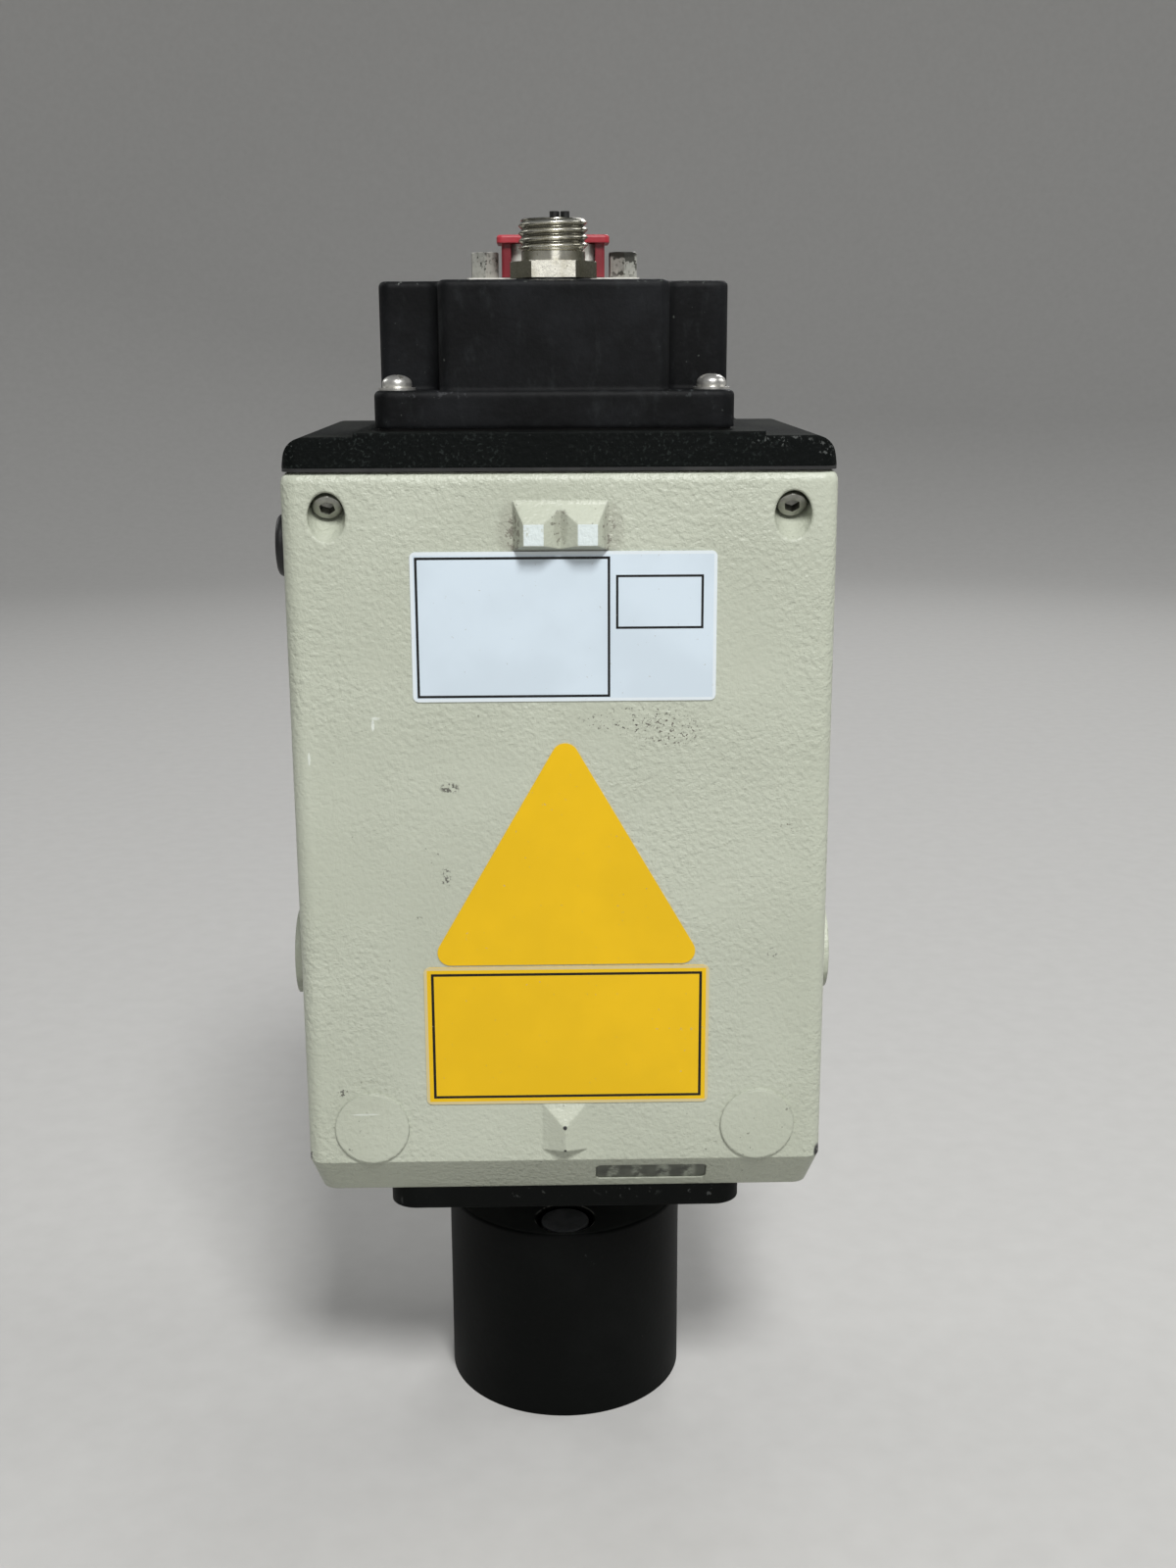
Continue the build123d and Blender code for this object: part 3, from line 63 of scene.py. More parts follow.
def lathe(name, profile, centre=(0, 0, 0), segments=96, closed=True):
    """Turned piece: the (radius, height) points of its profile, spun about an upright axis."""
    mesh = bmesh.new()
    rings = []
    for radius, height in profile:
        if radius == 0:
            rings.append([mesh.verts.new((centre[0], centre[1], centre[2] + height))])
            continue
        rings.append([
            mesh.verts.new((
                centre[0] + radius * math.cos(math.tau * i / segments),
                centre[1] + radius * math.sin(math.tau * i / segments),
                centre[2] + height,
            ))
            for i in range(segments)
        ])
    pairs = zip(rings, rings[1:] + rings[:1]) if closed else zip(rings, rings[1:])
    for low, high in pairs:
        for i in range(segments):
            corners = [low[i % len(low)], low[(i + 1) % len(low)],
                       high[(i + 1) % len(high)], high[i % len(high)]]
            corners = list(dict.fromkeys(corners))
            if len(corners) > 2:
                mesh.faces.new(corners)
    bmesh.ops.recalc_face_normals(mesh, faces=mesh.faces)
    return as_object(name, mesh)


def put(tree, kind, inputs=None, **settings):
    """Adds a node of any kind, with its settings, and its inputs as values or links."""
    node = tree.nodes.new(kind)
    for name, value in settings.items():
        setattr(node, name, value)
    for socket, value in (inputs or {}).items():
        if isinstance(value, bpy.types.NodeSocket):
            tree.links.new(value, node.inputs[socket])
        else:
            node.inputs[socket].default_value = value
    return node


def add(tree, kind, inputs=None, **settings):
    """Adds a shader node in the same way."""
    return put(tree, "ShaderNode" + kind, inputs, **settings)


def finish(name, roughness, metallic=0.0, **sockets):
    """New material: gives it, its node tree, its shader and the place on the piece."""
    material = bpy.data.materials.new(name)
    material.use_nodes = True
    tree = material.node_tree
    shader = tree.nodes["Principled BSDF"]
    shader.inputs["Roughness"].default_value = roughness
    shader.inputs["Metallic"].default_value = metallic
    for socket, value in sockets.items():
        shader.inputs[socket.replace("_", " ")].default_value = value
    place = add(tree, "TexCoord").outputs["Object"]
    return material, tree, shader, place


def grain(tree, place, size, detail=2.0, roughness=0.5, stretch=(1, 1, 1)):
    """Soft random pattern whose features are about this size, in metres."""
    noise_per_feature = 0.6
    stretched = add(tree, "Mapping", {"Vector": place, "Scale": stretch}).outputs["Vector"]
    return add(tree, "TexNoise", {"Vector": stretched, "Scale": noise_per_feature / size,
                                  "Detail": detail, "Roughness": roughness}).outputs["Fac"]


def combine(tree, operation, first, second=0.0):
    """One sum on two values, or on one."""
    return add(tree, "Math", {0: first, 1: second}, operation=operation).outputs["Value"]


def layer(tree, mask, under, over, strength=None):
    """Colour under, covered by colour over where the mask is 1, or to this strength there."""
    if strength is not None:
        mask = combine(tree, "MULTIPLY", mask, strength)
    node = add(tree, "Mix", data_type="RGBA")
    mask_socket, under_socket, over_socket, result = 0, 6, 7, 2
    for index, value in ((mask_socket, mask), (under_socket, under), (over_socket, over)):
        if isinstance(value, bpy.types.NodeSocket):
            tree.links.new(value, node.inputs[index])
        else:
            node.inputs[index].default_value = (*value, 1)
    return node.outputs[result]


def coat(tree, shader, colour, rough=None):
    """Puts a colour pattern on the shader, and a roughness pattern where there is one."""
    tree.links.new(colour, shader.inputs["Base Color"])
    if rough is not None:
        tree.links.new(rough, shader.inputs["Roughness"])


paper, tree, shader, place = finish("studio_paper", 0.9)
coat(tree, shader, layer(tree, grain(tree, place, 4 * mm), (0.47, 0.465, 0.45), (0.52, 0.515, 0.50)))
cove_floor, cove_bend, cove_wall, bend_steps = 1.3, 0.6, 0.4, 16
cove_gap = 0.02 * mm
bend_angles = [math.pi / 2 * i / bend_steps for i in range(bend_steps + 1)]
cove_profile = [(0, 0)] + [
    (cove_floor + cove_bend * math.sin(a), cove_bend * (1 - math.cos(a))) for a in bend_angles
] + [(cove_floor + cove_bend, cove_bend + cove_wall)]
cove = lathe("cove", cove_profile, centre=(0, 0, -cove_gap), closed=False)
cove.data.flip_normals()
cove.data.materials.append(paper)

scene = bpy.context.scene
scene.view_settings.view_transform = "Standard"
world = bpy.data.worlds.new("studio")
world.use_nodes = True
world.node_tree.nodes["Background"].inputs["Color"].default_value = (0.93, 0.96, 1.0, 1)
world.node_tree.nodes["Background"].inputs["Strength"].default_value = 0.16
scene.world = world

aim = Vector((0, 0, 0.12))
for name, spot, size, power in (
    ("key_lamp", (0.15, -0.75, 1.05), 0.3, 14),
    ("front_lamp", (0.15, -1.15, 0.45), 0.5, 1.0),
    ("right_lamp", (1.0, 0.1, 0.8), 0.5, 3),
    ("left_lamp", (-0.9, 0.6, 0.8), 0.5, 2.5),
    ("back_lamp", (0.3, 1.1, 0.9), 0.5, 5),
):
    lamp = bpy.data.lights.new(name, "AREA")
    lamp.size = size
    lamp.energy = power
    holder = bpy.data.objects.new(name, lamp)
    holder.location = spot
    holder.rotation_euler = (aim - Vector(spot)).to_track_quat("-Z", "Y").to_euler()
    scene.collection.objects.link(holder)

eye = Vector((-1.97, -343.31, 212.42)) * mm
pitch, yaw, roll = math.radians(14.04), math.radians(1.22), math.radians(-0.23)
focal_over_height = 1.1313
film_height_mm = 24
ahead = Vector((math.sin(yaw) * math.cos(pitch), math.cos(yaw) * math.cos(pitch),
                -math.sin(pitch)))
right = Vector((math.cos(yaw), -math.sin(yaw), 0))
up = right.cross(ahead)
turned_right = right * math.cos(roll) + up * math.sin(roll)
turned_up = up * math.cos(roll) - right * math.sin(roll)
lens = bpy.data.cameras.new("camera")
lens.sensor_fit = "VERTICAL"
lens.sensor_height = film_height_mm
lens.lens = film_height_mm * focal_over_height
lens.clip_start = 0.01
camera = bpy.data.objects.new("camera", lens)
camera.matrix_world = Matrix.Translation(eye) @ Matrix(
    (turned_right, turned_up, -ahead)).transposed().to_4x4()
scene.collection.objects.link(camera)
scene.camera = camera


# Housing: one aluminium casting with its sights, pads and side bosses. It is sprayed in a
# grey-beige structure paint, which is pitted, scuffed and chipped to black at a few edges.
# Painted shade darkens its downward faces and the recesses round the cap screw heads.
def dress(node, material):
    """Gives a CAD node this finish."""
    piece = nodes[node]
    piece.data.materials.clear()
    piece.data.materials.append(material)
    for face in piece.data.polygons:
        face.material_index = 0


def between(tree, value, low, high):
    """0 below low and 1 above high, with a soft step; low above high turns it round."""
    return add(tree, "MapRange", {"Value": value, "From Min": low, "From Max": high},
               interpolation_type="SMOOTHSTEP").outputs["Result"]


def ranged(tree, value, low, high):
    """A value of 0 to 1, spread over low to high."""
    return add(tree, "MapRange", {"Value": value, "To Min": low, "To Max": high}).outputs["Result"]


def along(tree, axis, vector):
    """One coordinate of a place or direction."""
    return add(tree, "SeparateXYZ", {"Vector": vector}).outputs[axis]


def facing(tree, axis):
    """How far the surface faces along an axis, from -1 to 1."""
    return along(tree, axis, add(tree, "TexCoord").outputs["Normal"])


def relief(tree, shader, height, depth, below=None):
    """Bumps of this depth, in metres; gives the normal for a next, finer relief."""
    bump = add(tree, "Bump", {"Height": height, "Distance": depth, "Strength": 1.0})
    if below is not None:
        tree.links.new(below, bump.inputs["Normal"])
    tree.links.new(bump.outputs["Normal"], shader.inputs["Normal"])
    return bump.outputs["Normal"]


def soft_edges(tree, radius):
    """Normal that rounds the piece's edges by this radius, in metres."""
    return add(tree, "Bevel", {"Radius": radius}, samples=4).outputs["Normal"]


def blot(tree, place, centre, reach):
    """1 at a spot on the piece and 0 beyond its reach, both (x, y, z) in millimetres."""
    offset = add(tree, "VectorMath", {0: place, 1: tuple(c * mm for c in centre)},
                 operation="SUBTRACT").outputs["Vector"]
    scaled = add(tree, "VectorMath", {0: offset, 1: tuple(r * mm for r in reach)},
                 operation="DIVIDE").outputs["Vector"]
    length = add(tree, "VectorMath", {0: scaled}, operation="LENGTH").outputs["Value"]
    full_within = 0.55
    return between(tree, length, 1.0, full_within)


def inside(tree, place, low, high):
    """1 inside a box on the face, from (x, z) to (x, z) in millimetres, with sharp sides."""
    axes = add(tree, "SeparateXYZ", {"Vector": place}).outputs
    mask = None
    for axis, near, far in (("X", low[0], high[0]), ("Z", low[1], high[1])):
        middle, half = (near + far) / 2 * mm, (far - near) / 2 * mm
        away = combine(tree, "ABSOLUTE", combine(tree, "SUBTRACT", axes[axis], middle))
        near_enough = combine(tree, "LESS_THAN", away, half)
        mask = near_enough if mask is None else combine(tree, "MULTIPLY", mask, near_enough)
    return mask


def flecks(tree, place, centre, reach, size, share):
    """Ragged specks of this size, in millimetres, that cover a share of a blot."""
    none_above, ragged_step = 0.62, 0.04
    ragged = between(tree, grain(tree, place, size * mm, 3, 0.65), none_above - share,
                     none_above + ragged_step - share)
    return combine(tree, "MULTIPLY", ragged, blot(tree, place, centre, reach))


housing_paint, tree, shader, place = finish("housing_paint", 0.48)
clouds = grain(tree, place, 22 * mm, 3)
colour = layer(tree, between(tree, clouds, 0.35, 0.7), (0.448, 0.473, 0.384), (0.49, 0.517, 0.424))
wrinkle_depth, ripple_depth, edge_radius = 0.42 * mm, 0.05 * mm, 0.5 * mm
wrinkles = grain(tree, place, 0.62 * mm, 2, 0.6)
ripple = grain(tree, place, 0.28 * mm, 2, 0.5)
hollows = between(tree, wrinkles, 0.40, 0.28)
colour = layer(tree, hollows, colour, (0.33, 0.34, 0.27), 0.15)
pinholes = between(tree, grain(tree, place, 0.6 * mm, 1), 0.775, 0.79)
colour = layer(tree, pinholes, colour, (0.14, 0.14, 0.11), 0.6)
for centre, reach, size, share, shade in (
    ((13, -38, 147.5), (12, 3, 3.2), 0.35, 0.03, (0.10, 0.095, 0.08)),
    ((19, -38, 145.5), (7, 3, 3.6), 0.35, 0.05, (0.12, 0.11, 0.09)),
    ((-20, -38, 135.5), (2.0, 3, 1.2), 0.5, 0.12, (0.12, 0.12, 0.10)),
    ((-21, -38, 119), (1.2, 3, 2.2), 0.4, 0.10, (0.13, 0.13, 0.11)),
    ((-26, -38, 111), (1.0, 3, 0.8), 0.4, 0.08, (0.16, 0.16, 0.13)),
    ((-41, -38, 77.5), (1.4, 3, 1.0), 0.4, 0.10, (0.12, 0.12, 0.10)),
    ((-38, -38.4, 71.8), (3.2, 2, 3.0), 0.5, -0.02, (0.20, 0.20, 0.16)),
    ((41, -38, 128), (3.0, 3, 1.6), 0.4, 0.03, (0.20, 0.19, 0.15)),
    ((38, -38, 104), (1.2, 3, 1.2), 0.4, 0.08, (0.20, 0.20, 0.17)),
    ((-7.9, -38.8, 180.5), (2.4, 2.2, 5.0), 0.5, 0.10, (0.17, 0.16, 0.13)),
    ((7.9, -38.8, 180.5), (2.4, 2.2, 5.0), 0.5, 0.07, (0.19, 0.18, 0.15)),
    ((0, -40.0, 181.5), (2.6, 1.6, 4.5), 0.4, 0.04, (0.20, 0.20, 0.16)),
    ((47.5, -37.6, 64.2), (1.0, 3, 1.9), 0.9, 0.30, (0.010, 0.010, 0.010)),
    ((-47.5, -37.5, 64.4), (0.8, 3, 1.2), 0.6, 0.10, (0.03, 0.03, 0.03)),
    ((0, -40.2, 70.9), (0.5, 1.5, 0.5), 0.4, 0.35, (0.015, 0.015, 0.015)),
    ((0, -39, 66.3), (0.4, 2.5, 0.5), 0.4, 0.35, (0.015, 0.015, 0.015)),
    ((47.9, -37.5, 120), (0.7, 1.0, 45), 0.7, -0.03, (0.07, 0.07, 0.06)),
    ((-47.9, -37.5, 120), (0.7, 1.0, 45), 0.7, -0.05, (0.09, 0.09, 0.07)),
    ((0, -37.5, 63.4), (46, 1.0, 0.6), 0.6, -0.05, (0.12, 0.12, 0.10)),
):
    colour = layer(tree, flecks(tree, place, centre, reach, size, share), colour, shade)
for centre, reach, strength, shade in (
    ((-8.4, -38.3, 180.8), (3.2, 2.2, 6.0), 0.35, (0.24, 0.235, 0.19)),
    ((8.4, -38.3, 180.8), (3.2, 2.2, 6.0), 0.35, (0.25, 0.245, 0.20)),
    ((0, -38.0, 177.2), (11, 2.0, 1.2), 0.7, (0.10, 0.10, 0.08)),
    ((0, -40.0, 182.0), (1.6, 1.2, 4.5), 0.35, (0.24, 0.24, 0.19)),
    # Painted shade: black round the cap screw heads, down in their recesses.
    ((-40, -34.8, 185.6), (3.7, 3.7, 3.7), 1.0, (0.008, 0.008, 0.007)),
    ((40, -34.8, 185.6), (3.7, 3.7, 3.7), 1.0, (0.008, 0.008, 0.007)),
    ((-33.2, -38, 147), (0.35, 2, 1.3), 0.8, (0.72, 0.76, 0.70)),
    ((-32.7, -38, 148.2), (0.9, 2, 0.35), 0.6, (0.72, 0.76, 0.70)),
    ((-44.6, -38, 141), (0.3, 2, 1.5), 0.7, (0.70, 0.74, 0.68)),
    ((-37, -38.4, 73.4), (3.2, 2, 0.25), 0.5, (0.72, 0.76, 0.70)),
):
    colour = layer(tree, blot(tree, place, centre, reach), colour, shade, strength)
land_in, land_out, land_low, land_high = 2.9, 6.3, 178.6, 182.2
lands = combine(tree, "ADD", inside(tree, place, (-land_out, land_low), (-land_in, land_high)),
                inside(tree, place, (land_in, land_low), (land_out, land_high)))
land_y, below_land_y = -41.4 * mm, -41.2 * mm
proud = between(tree, along(tree, "Y", place), below_land_y, land_y)
rubbed = between(tree, grain(tree, place, 1.2 * mm, 3, 0.6), 0.28, 0.40)
white_lands = combine(tree, "MULTIPLY", combine(tree, "MULTIPLY", lands, proud), rubbed)
colour = layer(tree, white_lands, colour, (0.66, 0.73, 0.72))
# Painted shade: faces that turn downward, such as the lower bevel, are painted darker.
painted_shade_downward = between(tree, facing(tree, "Z"), -0.3, -0.5)
colour = layer(tree, painted_shade_downward, colour, (0.20, 0.21, 0.165), 0.4)
coat(tree, shader, colour, ranged(tree, clouds, 0.36, 0.48))
swollen = between(tree, grain(tree, place, 16 * mm, 2), 0.30, 0.65)
face_y, pad_y = -38.1 * mm, -38.6 * mm
on_face = between(tree, along(tree, "Y", place), pad_y, face_y)
wrinkle_share = ranged(tree, combine(tree, "MULTIPLY", swollen, on_face), 0.35, 1.0)
swell = relief(tree, shader, combine(tree, "MULTIPLY", wrinkles, wrinkle_share), wrinkle_depth,
               soft_edges(tree, edge_radius))
relief(tree, shader, ripple, ripple_depth, swell)
dress("housing", housing_paint)


# Labels: three self-adhesive films on the face, a white one with fine ruled frames, a plain
# yellow triangle, and a yellow rectangle with a thin dark frame. Each is lightly scuffed.
def outline(node):
    """Lowest and highest (x, z) of a flat node on the face, in millimetres."""
    low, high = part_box(node)
    return (low.x / mm, low.z / mm), (high.x / mm, high.z / mm)


def ruled(tree, place, low, high, line):
    """A ruled frame: inside the outer box and outside the same box drawn in by the line."""
    inner_low = (low[0] + line, low[1] + line)
    inner_high = (high[0] - line, high[1] - line)
    outer = inside(tree, place, low, high)
    return combine(tree, "SUBTRACT", outer, inside(tree, place, inner_low, inner_high))


def film(name, ground, edge_low, edge_high, frames, edge_colour):
    """Printed film: its ground colour, a little faded in patches, ruled frames and a cut edge."""
    material, tree, shader, place = finish(name, 0.34, Specular_IOR_Level=0.3)
    faded_share = 0.93
    faded = tuple(c * faded_share for c in ground)
    colour = layer(tree, between(tree, grain(tree, place, 9 * mm, 3), 0.35, 0.7), faded, ground)
    for low, high, line, ink in frames:
        colour = layer(tree, ruled(tree, place, low, high, line), colour, ink)
    if edge_colour is not None:
        edge_width = 0.55
        rim = ruled(tree, place, edge_low, edge_high, edge_width)
        colour = layer(tree, rim, colour, edge_colour, 0.75)
    scuffs = between(tree, grain(tree, place, 0.6 * mm, 3, 0.7), 0.70, 0.72)
    coat(tree, shader, layer(tree, scuffs, colour, (0.32, 0.31, 0.27), 0.55))
    relief(tree, shader, grain(tree, place, 2.5 * mm, 2), 0.02 * mm)
    return material


ink = (0.004, 0.004, 0.004)
low, high = outline("type_label")
column_x = low[0] + 34.5
dress("type_label", film("white_film", (0.62, 0.71, 0.78), low, high, (
    ((low[0] + 0.8, low[1] + 0.7), (column_x, high[1] - 0.9), 0.45, ink),
    ((column_x + 1.0, high[1] - 13.5), (high[0] - 2.3, high[1] - 4.1), 0.42, ink),
), (0.72, 0.77, 0.79)))
low, high = outline("rectangle_label")
yellow = (0.80, 0.49, 0.004)
dress("rectangle_label", film("yellow_film", yellow, low, high, (
    ((low[0] + 1.3, low[1] + 1.2), (high[0] - 1.3, high[1] - 1.2), 0.5, ink),
), (0.55, 0.52, 0.35)))
low, high = outline("triangle_label")
dress("triangle_label", film("plain_yellow_film", yellow, low, high, (), None))


# Cap screws: two socket head screws of blackened steel, sunk at a slant into the face's upper
# corners. They pull the rear cap down onto the housing.
def steel(name, colour, dark, roughness, grime=0.3, metallic=1.0, marks=()):
    """Plated or blackened steel: fine streaks, dull patches, dark grime and marks at places."""
    material, tree, shader, place = finish(name, roughness, metallic)
    patches = between(tree, grain(tree, place, 1.6 * mm, 4, 0.6), 0.4, 0.65)
    dull_share, mark_size = 0.72, 1.3
    tone = layer(tree, patches, colour, tuple(c * dull_share for c in colour))
    dirt = between(tree, grain(tree, place, 0.6 * mm, 3, 0.7), 0.72 - grime / 3, 0.8)
    tone = layer(tree, dirt, tone, dark)
    for centre, reach, share, shade in marks:
        tone = layer(tree, flecks(tree, place, centre, reach, mark_size, share), tone, shade)
    streaks = grain(tree, place, 0.25 * mm, 2, 0.5, (1, 1, 6))
    coat(tree, shader, tone, ranged(tree, streaks, roughness * 0.75, roughness * 1.35))
    relief(tree, shader, streaks, 0.012 * mm)
    return material


def node_tree(name, inputs):
    """New Geometry Nodes group with these named inputs; gives it, its inputs and its output."""
    tree = bpy.data.node_groups.new(name, "GeometryNodeTree")
    tree.interface.new_socket("Geometry", in_out="OUTPUT", socket_type="NodeSocketGeometry")
    for label, kind in inputs:
        tree.interface.new_socket(label, in_out="INPUT", socket_type="NodeSocket" + kind)
    entry = tree.nodes.new("NodeGroupInput")
    out = tree.nodes.new("NodeGroupOutput")
    return tree, entry.outputs, out


def close_tree(tree, out, shape, material):
    """Ends a node group: real copies, with their finish."""
    real = put(tree, "GeometryNodeRealizeInstances", {0: shape}).outputs[0]
    done = put(tree, "GeometryNodeSetMaterial", {"Geometry": real, "Material": material}).outputs[0]
    tree.links.new(done, out.inputs[0])


def keep_result(piece, modifier):
    """Makes what the modifier builds the piece's plain mesh, and removes the modifier."""
    built = piece.evaluated_get(bpy.context.evaluated_depsgraph_get())
    mesh = bpy.data.meshes.new_from_object(built)
    piece.modifiers.remove(modifier)
    piece.data = mesh


def grow(name, tree, values, crease=35):
    """Runs a node group and keeps its result as a plain mesh."""
    holder = bpy.data.objects.new(name, bpy.data.meshes.new(name))
    bpy.context.scene.collection.objects.link(holder)
    modifier = holder.modifiers.new(name, "NODES")
    modifier.node_group = tree
    for item in tree.interface.items_tree:
        if item.item_type == "SOCKET" and item.in_out == "INPUT":
            modifier[item.identifier] = values[item.name]
    keep_result(holder, modifier)
    holder.data.shade_smooth()
    holder.data.set_sharp_from_angle(angle=math.radians(crease))
    return holder


def carved(piece, tool):
    """Cuts the tool out of the piece."""
    cut = piece.modifiers.new("cut", "BOOLEAN")
    cut.object = tool
    cut.solver = "EXACT"
    keep_result(piece, cut)
    bpy.data.objects.remove(tool)
    return piece


def copies_tree():
    """Node group: copies of one template in rows, tilted alike and each spun its own way."""
    tree, given, out = node_tree("rows_of_copies", (
        ("Template", "Object"), ("Rows X", "Int"), ("Rows Y", "Int"), ("Pitch X", "Float"),
        ("Pitch Y", "Float"), ("Middle", "Vector"), ("Tilt", "Vector"), ("Spin", "Vector"),
        ("Finish", "Material"),
    ))
    seats = put(tree, "GeometryNodeMeshGrid", {
        "Size X": given["Pitch X"], "Size Y": given["Pitch Y"],
        "Vertices X": given["Rows X"], "Vertices Y": given["Rows Y"]}).outputs["Mesh"]
    seats = put(tree, "GeometryNodeTransform", {
        "Geometry": seats, "Translation": given["Middle"]}).outputs[0]
    template = put(tree, "GeometryNodeObjectInfo", {
        "Object": given["Template"]}).outputs["Geometry"]
    copies = put(tree, "GeometryNodeInstanceOnPoints", {
        "Points": seats, "Instance": template, "Rotation": given["Tilt"]}).outputs[0]
    spin_seed = 4
    spin = put(tree, "FunctionNodeRandomValue", {"Max": given["Spin"], "Seed": spin_seed},
               data_type="FLOAT_VECTOR").outputs[0]
    copies = put(tree, "GeometryNodeRotateInstances", {
        "Instances": copies, "Rotation": spin}).outputs[0]
    close_tree(tree, out, copies, given["Finish"])
    return tree


copies = copies_tree()


def copied(name, template, rows, pitch, middle, material, tilt=(0, 0, 0), spin=0.0):
    """Copies of a template in rows of this pitch about the middle, as one piece."""
    piece = grow(name, copies, {
        "Template": template, "Rows X": rows[0], "Rows Y": rows[1], "Pitch X": pitch[0],
        "Pitch Y": pitch[1], "Middle": middle, "Tilt": tilt, "Spin": (0, 0, spin),
        "Finish": material,
    })
    bpy.data.objects.remove(template)
    return piece


dark_steel = steel("dark_steel", (0.34, 0.34, 0.31), (0.03, 0.03, 0.03), 0.34)
low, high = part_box("cap_screws")
seat_radius, head_radius, head_height = 2.75 * mm, 2.62 * mm, 3 * mm
shank_radius, shank_length = 1.5 * mm, 13.8 * mm
socket_width, socket_depth, socket_tip = 2.5 * mm, 1.6 * mm, 0.5 * mm
screw_slope = math.radians(37)
head = lathe("socket_head", [
    (0, 0), (head_radius - 0.45 * mm, 0), (head_radius - 0.15 * mm, -0.12 * mm),
    (head_radius, -0.4 * mm), (head_radius, -head_height), (shank_radius, -head_height),
    (shank_radius, -head_height - shank_length), (0, -head_height - shank_length),
], segments=48, closed=False)
socket_mesh = bmesh.new()
bmesh.ops.create_cone(socket_mesh, cap_ends=True, segments=6, radius1=0.1 * socket_width,
                      radius2=socket_width / math.sqrt(3), depth=socket_tip,
                      matrix=Matrix.Translation((0, 0, -socket_depth - socket_tip / 2)))
bmesh.ops.create_cone(socket_mesh, cap_ends=True, segments=6, radius1=socket_width / math.sqrt(3),
                      radius2=socket_width / math.sqrt(3), depth=2 * socket_depth)
head = carved(head, as_object("socket", socket_mesh))
cap_screws = copied("socket_cap_screws", head, (2, 1), (high.x - low.x - 2 * seat_radius, 0), (
    (low.x + high.x) / 2, low.y + seat_radius * math.sin(screw_slope),
    low.z + seat_radius * math.cos(screw_slope),
), dark_steel, tilt=(math.pi / 2 + screw_slope, 0, 0), spin=1.0)
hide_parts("cap_screws")
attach(cap_screws, "meter")


# Side plug: a blanking plug of black moulded plastic with a little dust on it. It is pressed
# into a hole in the housing's left side, near the rear sight.
def moulded(name, colour, roughness, grit=0.5, dusty=0.25, dust_colour=(0.16, 0.16, 0.15)):
    """Moulded plastic or rubber: fine grit, in millimetres, and a little dust in patches."""
    material, tree, shader, place = finish(name, roughness)
    patches = between(tree, grain(tree, place, 5 * mm, 4, 0.6), 0.45, 0.75)
    coat(tree, shader, layer(tree, patches, colour, dust_colour, dusty))
    relief(tree, shader, grain(tree, place, grit * mm, 2), 0.05 * mm)
    return material


black_plastic = moulded("black_plastic", (0.006, 0.006, 0.006), 0.5, dusty=0.06,
                        dust_colour=(0.10, 0.10, 0.09))
dress("side_plug", black_plastic)


# Status window: a bar of smoky translucent plastic let into the lower bevel, with four clear
# lights on their small board behind it.
window_plastic, tree, shader, place = finish("window_plastic", 0.3, Transmission_Weight=0.25,
                                             IOR=1.49)
haze = between(tree, grain(tree, place, 2.2 * mm, 3), 0.35, 0.7)
colour = layer(tree, haze, (0.045, 0.050, 0.034), (0.100, 0.110, 0.080))
low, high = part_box("status_lights")
light_radius, light_count = 1.2, 4
for i in range(light_count):
    share = i / (light_count - 1)
    x = (low.x + (high.x - low.x) * share) / mm + light_radius * (1 - 2 * share)
    spot = (x, (low.y + high.y) / 2 / mm, (low.z + high.z) / 2 / mm)
    glow = blot(tree, place, spot, (2.2, 6.0, 6.0))
    mottle = between(tree, grain(tree, place, 1.1 * mm, 3, 0.6), 0.38, 0.62)
    colour = layer(tree, glow, colour, (0.36, 0.39, 0.31), mottle)
coat(tree, shader, colour)
relief(tree, shader, grain(tree, place, 1.2 * mm, 2), 0.04 * mm, soft_edges(tree, 0.3 * mm))
dress("status_window", window_plastic)

light_plastic, tree, shader, place = finish("light_plastic", 0.2)
coat(tree, shader, layer(tree, grain(tree, place, 0.8 * mm), (0.80, 0.81, 0.74), (0.95, 0.95, 0.9)))
dress("status_lights", light_plastic)


def laminate(name, colour, track):
    """Board laminate: solder resist over faint copper tracks."""
    material, tree, shader, place = finish(name, 0.35)
    track_pitch = 4 * mm
    weave = add(tree, "TexBrick", {"Vector": place, "Scale": 1 / track_pitch, "Mortar Size": 0.04,
                                   "Color1": (0, 0, 0, 1), "Color2": (0, 0, 0, 1),
                                   "Mortar": (1, 1, 1, 1)}).outputs["Fac"]
    routed = between(tree, grain(tree, place, 6 * mm), 0.45, 0.55)
    tracks = combine(tree, "MULTIPLY", weave, routed)
    coat(tree, shader, layer(tree, tracks, colour, track))
    relief(tree, shader, tracks, 0.03 * mm)
    return material


board_laminate = laminate("board_laminate", (0.015, 0.11, 0.045), (0.05, 0.26, 0.10))
dress("light_board", board_laminate)


# Rear cap: a black casting with rough structure paint, on a thin rubber gasket. The paint has
# pale dust in its pits and is worn grey along the upper edges.
black_rubber = moulded("black_rubber", (0.012, 0.012, 0.012), 0.7, dusty=0.1)
dress("cap_gasket", black_rubber)

cap_paint, tree, shader, place = finish("cap_paint", 0.55, Specular_IOR_Level=0.1)
rough_pits = grain(tree, place, 0.75 * mm, 3, 0.6)
patchy = between(tree, grain(tree, place, 9 * mm, 3), 0.35, 0.6)
dust = between(tree, grain(tree, place, 0.42 * mm, 2, 0.6), 0.54, 0.70)
colour = layer(tree, dust, (0.0014, 0.0024, 0.0021), (0.015, 0.019, 0.0175), patchy)
grit = between(tree, grain(tree, place, 0.26 * mm, 2, 0.6), 0.66, 0.74)
colour = layer(tree, grit, colour, (0.045, 0.05, 0.047), 0.7)
film_of_dust = between(tree, grain(tree, place, 14 * mm, 4, 0.6), 0.40, 0.68)
level_top = between(tree, facing(tree, "Z"), 0.5, 0.9)
settled = combine(tree, "MULTIPLY", film_of_dust, level_top)
